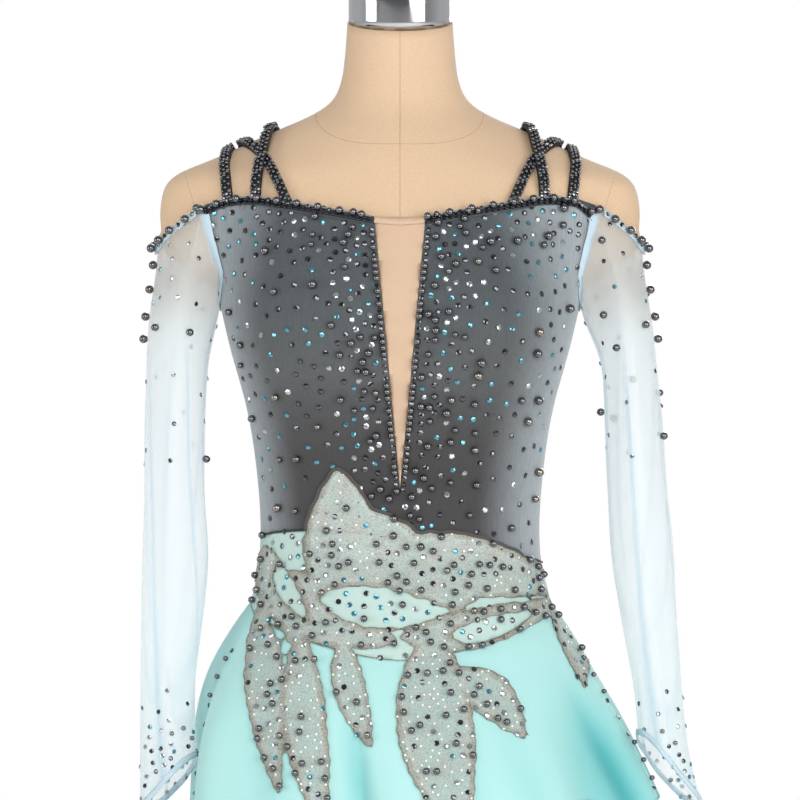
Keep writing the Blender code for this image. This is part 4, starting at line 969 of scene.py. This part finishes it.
def spaced(path, pitch):
    """Points a pitch apart along a path of points with facings, with the way along it."""
    lengths = [0.0]
    for (a, _), (b, _) in zip(path, path[1:]):
        lengths.append(lengths[-1] + (b - a).length)
    spots = []
    for i in range(int(lengths[-1] / pitch) + 1):
        at = i * pitch
        k = min(max(np.searchsorted(lengths, at, side="right") - 1, 0), len(path) - 2)
        share = (at - lengths[k]) / (lengths[k + 1] - lengths[k])
        place = path[k][0].lerp(path[k + 1][0], share)
        facing = path[k][1].lerp(path[k + 1][1], share).normalized()
        way = (path[k + 1][0] - path[k][0]).normalized()
        spots.append((place, facing, way))
    return spots


for place in ("outer", "middle", "inner"):
    for side in ("left", "right"):
        name = f"strap_{place}_{side}"
        piece(name + "_braid", rounded(quads(solid(name)), 1), braid, [name])
        for i, (spot, facing, way) in enumerate(spaced(strap_path(name), STRAP_PITCH)):
            across = way.cross(facing).normalized()
            for row in (-1, 0, 1):
                kind = "hematite" if (i + row) % 2 else "black"
                if i % 7 == row + 1:
                    kind = "crystal"
                high = (1.2 if row == 0 else 0.8) * MM
                seat = spot + across * row * STRAP_ROW + facing * high
                beads[kind].append((seat, facing, STRAP_BEAD, way))
print(sum(len(v) for v in beads.values()), "strap beads")

# %% [markdown]
# ## Beads on the bodice
# The beads are sewn by hand, close together beside the V and thinning out to the sides. Each is placed by
# a seeded throw that keeps its distance from the others, so they look scattered but never pile up, and
# the distance grows away from the V. A row of pearls and stones edges the V itself.

# %% Beads on the bodice
bodice = tree_of(panels["bodice_front"].data)
bodice_back = tree_of(panels["bodice_back"].data)
basque = tree_of(panels["basque_front"].data)
net_tree = tree_of(lace_mesh)
V_HALF, V_TOP, V_TIP = 0.021, 1.299, 1.0805
REACH = 0.155  # beads are thrown this far to either side
SIDEWAYS = 0.92  # cloth that faces the side more than this takes no thrown beads


def v_half(z):
    """Half the width of the V at a height."""
    return V_HALF * min(1.0, max(0.0, (z - V_TIP) / (V_TOP - V_TIP)))


SIZES = {"hematite": 6.2 * MM, "bronze": 6.2 * MM, "black": 5.1 * MM,
         "crystal": 5.4 * MM, "aqua": 4.8 * MM, "dot": 2.3 * MM}
CUBE = 0.02  # sewn beads are looked up by cubes of this size
sewn = defaultdict(list)
rng = random.Random(21)


def pick(**weights):
    """One kind of bead, drawn by the weights given."""
    return rng.choices(list(weights), list(weights.values()))[0]


def throws(count, across, up):
    """Seeded throws at the dress, each a place across it and a height."""
    for _ in range(count):
        yield rng.uniform(*across), rng.uniform(*up)


def sew(kind, spot, gap, size=None):
    """Sews a bead at a point with its facing, if no other is nearer than the gap."""
    if not spot:
        return
    place, facing = spot
    cube = [math.floor(c / CUBE) for c in place]
    for step in itertools.product((-1, 0, 1), repeat=3):
        for other in sewn[tuple(a + b for a, b in zip(cube, step))]:
            if (other - place).length < gap:
                return
    sewn[tuple(cube)].append(place.copy())
    beads[kind].append((place, facing, size or SIZES[kind], None))


# the rows along the V
for side in (-1, 1):
    z = V_TIP
    while z < NECK_FRONT:
        x = side * (v_half(z) + 2.6 * MM)
        kind = pick(hematite=2, black=2)
        sew(kind, ahead([bodice], x, z), 3.0 * MM, 6.0 * MM if kind == "hematite" else 4.2 * MM)
        z += 5.0 * MM
# the scatter
for x, z in throws(15000, (-REACH, REACH), (1.03, 1.31)):
    spot = ahead([bodice], x, z)
    if not spot or abs(x) < v_half(z) + 3 * MM or abs(spot[1].x) > SIDEWAYS:
        continue
    # closest beside the V and under the neck edge, widest at the sides and toward the waist
    away = abs(x) - v_half(z)
    near_neck = smooth(z, 1.255, 1.285)
    gap = (6.3 + 6.3 * smooth(away, 0.010, 0.085) * (1 - 0.72 * near_neck)) * MM
    gap *= 1 + 0.20 * smooth(1.15 - z, 0.0, 0.08)
    pearls = 5.0 - 3.6 * smooth(away, 0.015, 0.05)
    kind = pick(hematite=pearls, black=4.2, crystal=2.1, aqua=1.9, bronze=0.4)
    size = None
    if kind in ("hematite", "bronze"):
        size = rng.choice((5.4, 6.6, 8.0) if away > 0.03 else (5.8, 7.0)) * MM
    sew(kind, spot, gap, size)
print(sum(len(v) for v in beads.values()), "beads so far")

# %% [markdown]
# ## Beads on the lace, basque and back
# The lace and the basque windows carry the same beads at even distances, with many tiny white sequins
# on the tongues. The back, which the photo doesn't show, gets a thin scatter of the same.

# %% Beads on the lace, basque and back
TONGUES = 0.955  # the lace's tongues hang below this height
EVEN_GAP = 7.6 * MM
DOT_GAP = 4.6 * MM
# the lace
for x, z in throws(9000, (-0.155, 0.160), (0.80, 1.10)):
    if lace_depth(x, z) < 1.0 * MM:
        continue
    dots = 4 if z < TONGUES else 0.8
    kind = pick(hematite=3, black=2.5, crystal=2, aqua=0.8, bronze=0.35, dot=dots)
    sew(kind, ahead([net_tree], x, z), DOT_GAP if kind == "dot" else EVEN_GAP)
# the basque, where neither the lace nor the skirt covers it
for x, z in throws(1500, (-0.14, 0.14), (0.945, 1.045)):
    if lace_depth(x, z) > -2.5 * MM:
        continue
    spot = ahead([basque], x, z)
    over = ahead([skirt], x, z)
    if not spot or over and over[0].y < spot[0].y:
        continue
    sew(pick(hematite=2, black=2.5, crystal=2, aqua=2), spot, EVEN_GAP)
# the back, closer toward the neck
for x, z in throws(5000, (-REACH, REACH), (1.03, 1.31)):
    spot = ahead([bodice_back], x, z, 1)
    if not spot or abs(spot[1].x) > SIDEWAYS:
        continue
    kind = pick(hematite=2.5, black=3, crystal=2.6, aqua=2.4)
    sew(kind, spot, (13 - 6 * smooth(z, 1.22, 1.28)) * MM)
print(sum(len(v) for v in beads.values()), "beads so far")

# %% [markdown]
# ## The beaded neck edge
# Two rows of black bugles run along the neck binding below a thin piping. Above them a pearl sits every
# 18 mm, with a small stone between. The rows are laid on the panels' own rims.

# %% The beaded neck edge
ARMPIT_X = 0.158
front_rim = rim_heights("bodice_front", lambda p: p.z > NECK_FRONT and abs(p.x) > V_HALF - 0.2 * MM)
back_rim = rim_heights("bodice_back", lambda p: p.z > NECK_BACK and abs(p.x) < ARMPIT_X, low=0.0)
BUGLE_ROWS = (2.6 * MM, 4.9 * MM)  # below the neck edge
BUGLE_PITCH, BUGLE_WIDTH = 5.2 * MM, 2.1 * MM
PIPING = band(1.2 * MM, 0.5 * MM, 2.0 * MM)


def neck_run(rim, low, high, down):
    """Facing points below the neck edge between two angles in degrees from the front."""
    angles = np.radians(np.arange(low, high + 0.1, 1.0))
    return [toward(torso, angle, np.interp(angle, *rim) - down, LIFT) for angle in angles]


def in_turn(path, pitch, lift, pearl, stone, drop=0.0):
    """A row of pearls and black stones in turn, of the two sizes given."""
    for i, (spot, facing, _) in enumerate(spaced(path, pitch)):
        kind, size = ("black", stone) if i % 2 else ("hematite", pearl)
        beads[kind].append((spot + facing * lift - Vector((0, 0, drop)), facing, size, None))


rows = []
for rim, low, high in ((front_rim, 13.4, 76.0), (front_rim, -76.0, -13.4), (back_rim, 105, 255)):
    for down in BUGLE_ROWS:
        for spot, facing, way in spaced(neck_run(rim, low, high, down), BUGLE_PITCH):
            beads["bugle"].append((spot + facing * 1.9 * MM, facing, BUGLE_WIDTH, way))
    rows.append(run(neck_run(rim, low, high, 0.4 * MM), PIPING))
    in_turn(neck_run(rim, low, high, 1.2 * MM), 9 * MM, 2.0 * MM, 6.8 * MM, 3.8 * MM)
neck_piping = piece("neck_piping", finished(*rows), piping)
print(len(beads["bugle"]), "bugles")

# %% [markdown]
# ## Beads on the sleeves
# Each sleeve's upper edge carries large pearls and stones in turn. Below it a scatter thins out down the
# arm, and small stones come back at the cuff. A short tape closes the corner between the sleeve's bound
# edge and the armhole.

# %% Beads on the sleeves
SHOULDER_X, UPPER_ARM_X = 0.17, 0.182
SLEEVE_STONE = 4.2 * MM
CORNER = band(3.5 * MM, -0.6 * MM, 0.6 * MM)
bridges = []


def on_sleeve(tree, sign, way, z):
    """Where a level look at the upper arm's middle meets the sleeve, with the way it faces there."""
    place, normal, _, _ = tree.ray_cast(Vector((sign * UPPER_ARM_X, 0, z)) + way * 0.5, -way)
    return place, normal


for label, sign in (("left", 1), ("right", -1)):
    sleeve = sleeves["sleeve_" + label][1]
    top_rim = max(rims_of("sleeve_" + label), key=lambda loop: sum(p.z for p in loop) / len(loop))
    # the bound edge over the arm, from front to back
    edge = [(p, Vector((p.x - sign * SHOULDER_X, p.y, 0)).normalized()) for p in top_rim]
    edge = [(p, n) for p, n in edge if p.z > 1.272 and abs(p.x) > ARMPIT_X]
    edge.sort(key=lambda item: math.atan2(item[0].y, sign * item[0].x - SHOULDER_X))
    in_turn(edge, 8 * MM, 2.2 * MM, 7.6 * MM, SLEEVE_STONE, drop=2 * MM)
    for place, facing in (edge[0], edge[-1]):
        top, top_facing = arm_tops[1 if place.y < 0 else -1, sign]
        out = (facing + top_facing).normalized()
        bridges.append(run([(place + out * 0.6 * MM, out), (top + out * 0.4 * MM, out)], CORNER))
    # large pearls down the outer arm
    for z in (1.263, 1.243, 1.221, 1.203):
        sew("hematite", on_sleeve(sleeve, sign, Vector((sign, -0.25, 0)).normalized(), z), 5 * MM, 7.4 * MM)
    # a scatter that thins out down the upper arm
    for _ in range(420):
        turn, z = rng.uniform(0, 2 * math.pi), 1.30 - 0.20 * rng.random() ** 1.5
        place, normal = on_sleeve(sleeve, sign, Vector((math.sin(turn), math.cos(turn), 0)), z)
        if place is None or place.z < 1.10:
            continue
        kind = pick(hematite=0.8, black=2.5, crystal=2.0, aqua=1.5)
        size = 6.8 * MM if kind == "hematite" else SLEEVE_STONE
        sew(kind, (place, normal), (12 + 16 * smooth(1.29 - z, 0.0, 0.15)) * MM, size)
    # small stones at the cuff, closest at its edge
    for x, z in throws(700, (sign * 0.15, sign * 0.25), (0.80, 0.92)):
        spot = ahead([sleeve], x, z, rng.choice((-1, 1)))
        kind = pick(black=3, crystal=2, aqua=2, bronze=1)
        sew(kind, spot, (5.6 + 10 * smooth(z, 0.870, 0.92)) * MM, SLEEVE_STONE)
sleeve_corners = piece("sleeve_corners", finished(*bridges), edging)
print(sum(len(v) for v in beads.values()), "beads so far")

# %% [markdown]
# ## Beads on the skirt's front panel
# The panel's two side edges carry small beads over the rolled hem. Two places in five are left out, so
# that the beads look sewn on one by one.

# %% Beads on the skirt's front panel
for degrees in PANEL_EDGES:
    edge = [toward(skirt, math.radians(degrees), z, 0.5 * MM) for z in np.arange(0.950, PANEL_FOOT, -STEP)]
    for i, (spot, facing, _) in enumerate(spaced([e for e in edge if e], 8 * MM)):
        if i % 5 in (0, 1, 3):
            kind = "hematite" if i % 2 else "black"
            beads[kind].append((spot, facing, 4.6 * MM, None))
print(sum(len(v) for v in beads.values()), "beads so far")

# %% [markdown]
# ## Making the beads
# A pearl is a small ball, a stone a low cone cut to six facets with a flat table, a sequin a low flat
# disc, and a bugle a short tube lying along its row. Each kind is one joined mesh, because thousands of
# objects would be slow: one small shape is copied to each spot with plain arrays. The stones are tilted a
# little at random, as sewn stones are, so that they don't all flash at once.

# %% Making the beads
STONES = ("black", "crystal", "aqua")


def bead_shape(kind):
    """The corners and faces of one bead of size 1, on z = 0. A bugle lies along X, with its middle there."""
    shape = bmesh.new()
    cones = {"bugle": (0.5, 2.5), "dot": (0.4, 0.3)}  # upper radius and height
    if kind in ("hematite", "bronze"):
        bmesh.ops.create_uvsphere(shape, u_segments=8, v_segments=6, radius=0.5,
                                  matrix=Matrix.Translation((0, 0, 0.42)))
    else:
        upper, tall = cones.get(kind, (0.47, 0.16))
        seat = Matrix.Translation((0, 0, tall / 2))
        if kind == "bugle":
            seat = Matrix.Rotation(math.pi / 2, 4, "Y")
        bmesh.ops.create_cone(shape, cap_ends=True, segments=6, radius1=0.5, radius2=upper, depth=tall,
                              matrix=seat)
    if kind in STONES:
        table = max(shape.faces, key=lambda face: face.calc_center_median().z)
        bmesh.ops.inset_region(shape, faces=[table], thickness=0.24, depth=0.09)
    mesh = as_mesh(shape, kind)
    corners = np.array([v.co for v in mesh.vertices])
    faces = [tuple(p.vertices) for p in mesh.polygons]
    bpy.data.meshes.remove(mesh)
    return corners, faces


TILT = 0.30
spin = random.Random(5)
for kind, spots in beads.items():
    corners, faces = bead_shape(kind)
    points, polygons = [], []
    for place, facing, size, way in spots:
        guide = way if way is not None else Vector([spin.uniform(-1, 1) for _ in range(3)])
        if kind in STONES:
            facing = (facing + TILT * guide).normalized()
        across = (guide - facing * guide.dot(facing)).normalized()
        turn = np.array([across, facing.cross(across), facing])
        start = len(points) * len(corners)
        points.append(corners @ turn * size + np.array(place))
        polygons += [tuple(start + k for k in face) for face in faces]
    mesh = bpy.data.meshes.new(kind)
    mesh.from_pydata(np.concatenate(points), [], polygons)
    piece(f"beads_{kind}", mesh, BEAD_LOOKS[kind])
    if kind in STONES:
        mesh.shade_flat()
    print(kind, len(spots), "beads,", len(mesh.polygons), "faces")

# %% [markdown]
# ## Cloth facts
# Each sheet is listed with the size it was cut to, what it lies on or hangs from, and the trims that
# are sewn to it. The stretch panels are cut about 7% smaller than the body that they cover.

# %% Cloth facts
BODICE_TRIMS = [waist_braid, neck_piping, arm_trim, sleeve_corners, *neck_tapes]
SHEETS = [  # piece, width, length, flat area, how held, what it rests on, what goes with it
    (panels["bodice_front"], 0.400, 0.292, 0.0890, "stretched", "torso", BODICE_TRIMS),
    (panels["bodice_back"], 0.395, 0.285, 0.0850, "stretched", "torso", []),
    (panels["front_insert"], 0.041, 0.216, 0.0044, "stretched", "torso", [insert_tape]),
    (panels["basque_front"], 0.330, 0.105, 0.0230, "stretched", "torso", []),
    (panels["basque_back"], 0.330, 0.088, 0.0195, "stretched", "torso", []),
    (skirt_piece, 1.10, 0.240, 0.1940, "hung", "basque_front_cloth", [panel_hems]),
    (under_piece, 1.12, 0.260, 0.2120, "hung", "basque_front_cloth", []),
    (lace_piece, 0.340, 0.310, 0.0430, "laid", "basque_front_cloth", [lace_cord]),
    (sleeves["sleeve_left"][0], 0.235, 0.500, 0.0870, "hung", "bodice_front_cloth", edge_tapes["left"]),
    (sleeves["sleeve_right"][0], 0.235, 0.500, 0.0890, "hung", "bodice_front_cloth", edge_tapes["right"]),
]
for cloth, width, length, cut_area, held, rests_on, others in SHEETS:
    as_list(others)
print(len(SHEETS), "sheets")

# %% [markdown]
# ## Floor and room
# The photo was taken in a white studio. The world is white to the camera alone: everything else sees a
# grey room that is darker in front, so the cloth keeps its contrast and the pearls get dark middles.

# %% Floor and room
ground = bmesh.new()
bmesh.ops.create_grid(ground, x_segments=1, y_segments=1, size=4.0)
floor = bpy.data.objects.new("floor", as_mesh(ground, "floor"))
scene.collection.objects.link(floor)
floor.location.z = -1 * MM
pale = material("pale floor", "#f4f4f4", 0.8)[0]  # an even near-white ground
floor.data.materials.append(pale)

world = bpy.data.worlds.new("studio")
world.use_nodes = True
tree = world.node_tree
look = add(tree, "ShaderNodeTexCoord", out="Generated")
behind = add(tree, "ShaderNodeSeparateXYZ", {"Vector": look}, out="Y")
spread = {"Value": behind, "From Min": -0.9, "From Max": 0.2, "To Min": 0.12, "To Max": 0.56}
share = add(tree, "ShaderNodeMapRange", spread)
room = add(tree, "ShaderNodeCombineColor", {"Red": share, "Green": share, "Blue": share})
seen = add(tree, "ShaderNodeLightPath", out="Is Camera Ray")
sky = add(tree, "ShaderNodeMixRGB", {"Fac": seen, "Color1": room, "Color2": "#ffffff"})
fill(tree, tree.nodes["Background"], {"Color": sky})
scene.world = world
print("floor", round(floor.dimensions.x, 1), "m wide")

# %% [markdown]
# ## Light and camera
# Large area lights in front, at both sides and behind give the photo's even light with soft shadows. The
# camera looks level at the middle of the dress through a long lens, as the photo shows no perspective.

# %% Light and camera
LIGHTS = [  # name, place, height aimed at, size, watts
    ("key", (-0.3, -2.5, 1.9), 1.1, 1.7, 37), ("side", (1.7, -2.0, 1.4), 1.2, 1.7, 40),
    ("left", (-2.4, -0.9, 1.3), 1.1, 1.2, 18), ("back", (0.6, 2.6, 2.0), 1.1, 1.7, 26),
]
for name, place, height, size, watts in LIGHTS:
    data = bpy.data.lights.new(name, "AREA")
    data.size = size
    data.energy = watts
    lamp = bpy.data.objects.new(name, data)
    lamp.location = place
    lamp.rotation_euler = (Vector((0, 0, height)) - Vector(place)).to_track_quat("-Z", "Y").to_euler()
    scene.collection.objects.link(lamp)

lens = bpy.data.cameras.new("camera")
lens.lens = 331  # from six metres off, the photo's crop from the hip to the neck cap fills the picture
camera = bpy.data.objects.new("camera", lens)
camera.location = (0.0, -6.0, 1.1534)
camera.rotation_euler = (math.pi / 2, 0, 0)
scene.collection.objects.link(camera)
scene.camera = camera
scene.view_settings.view_transform = "Standard"
print(len(LIGHTS), "lights")
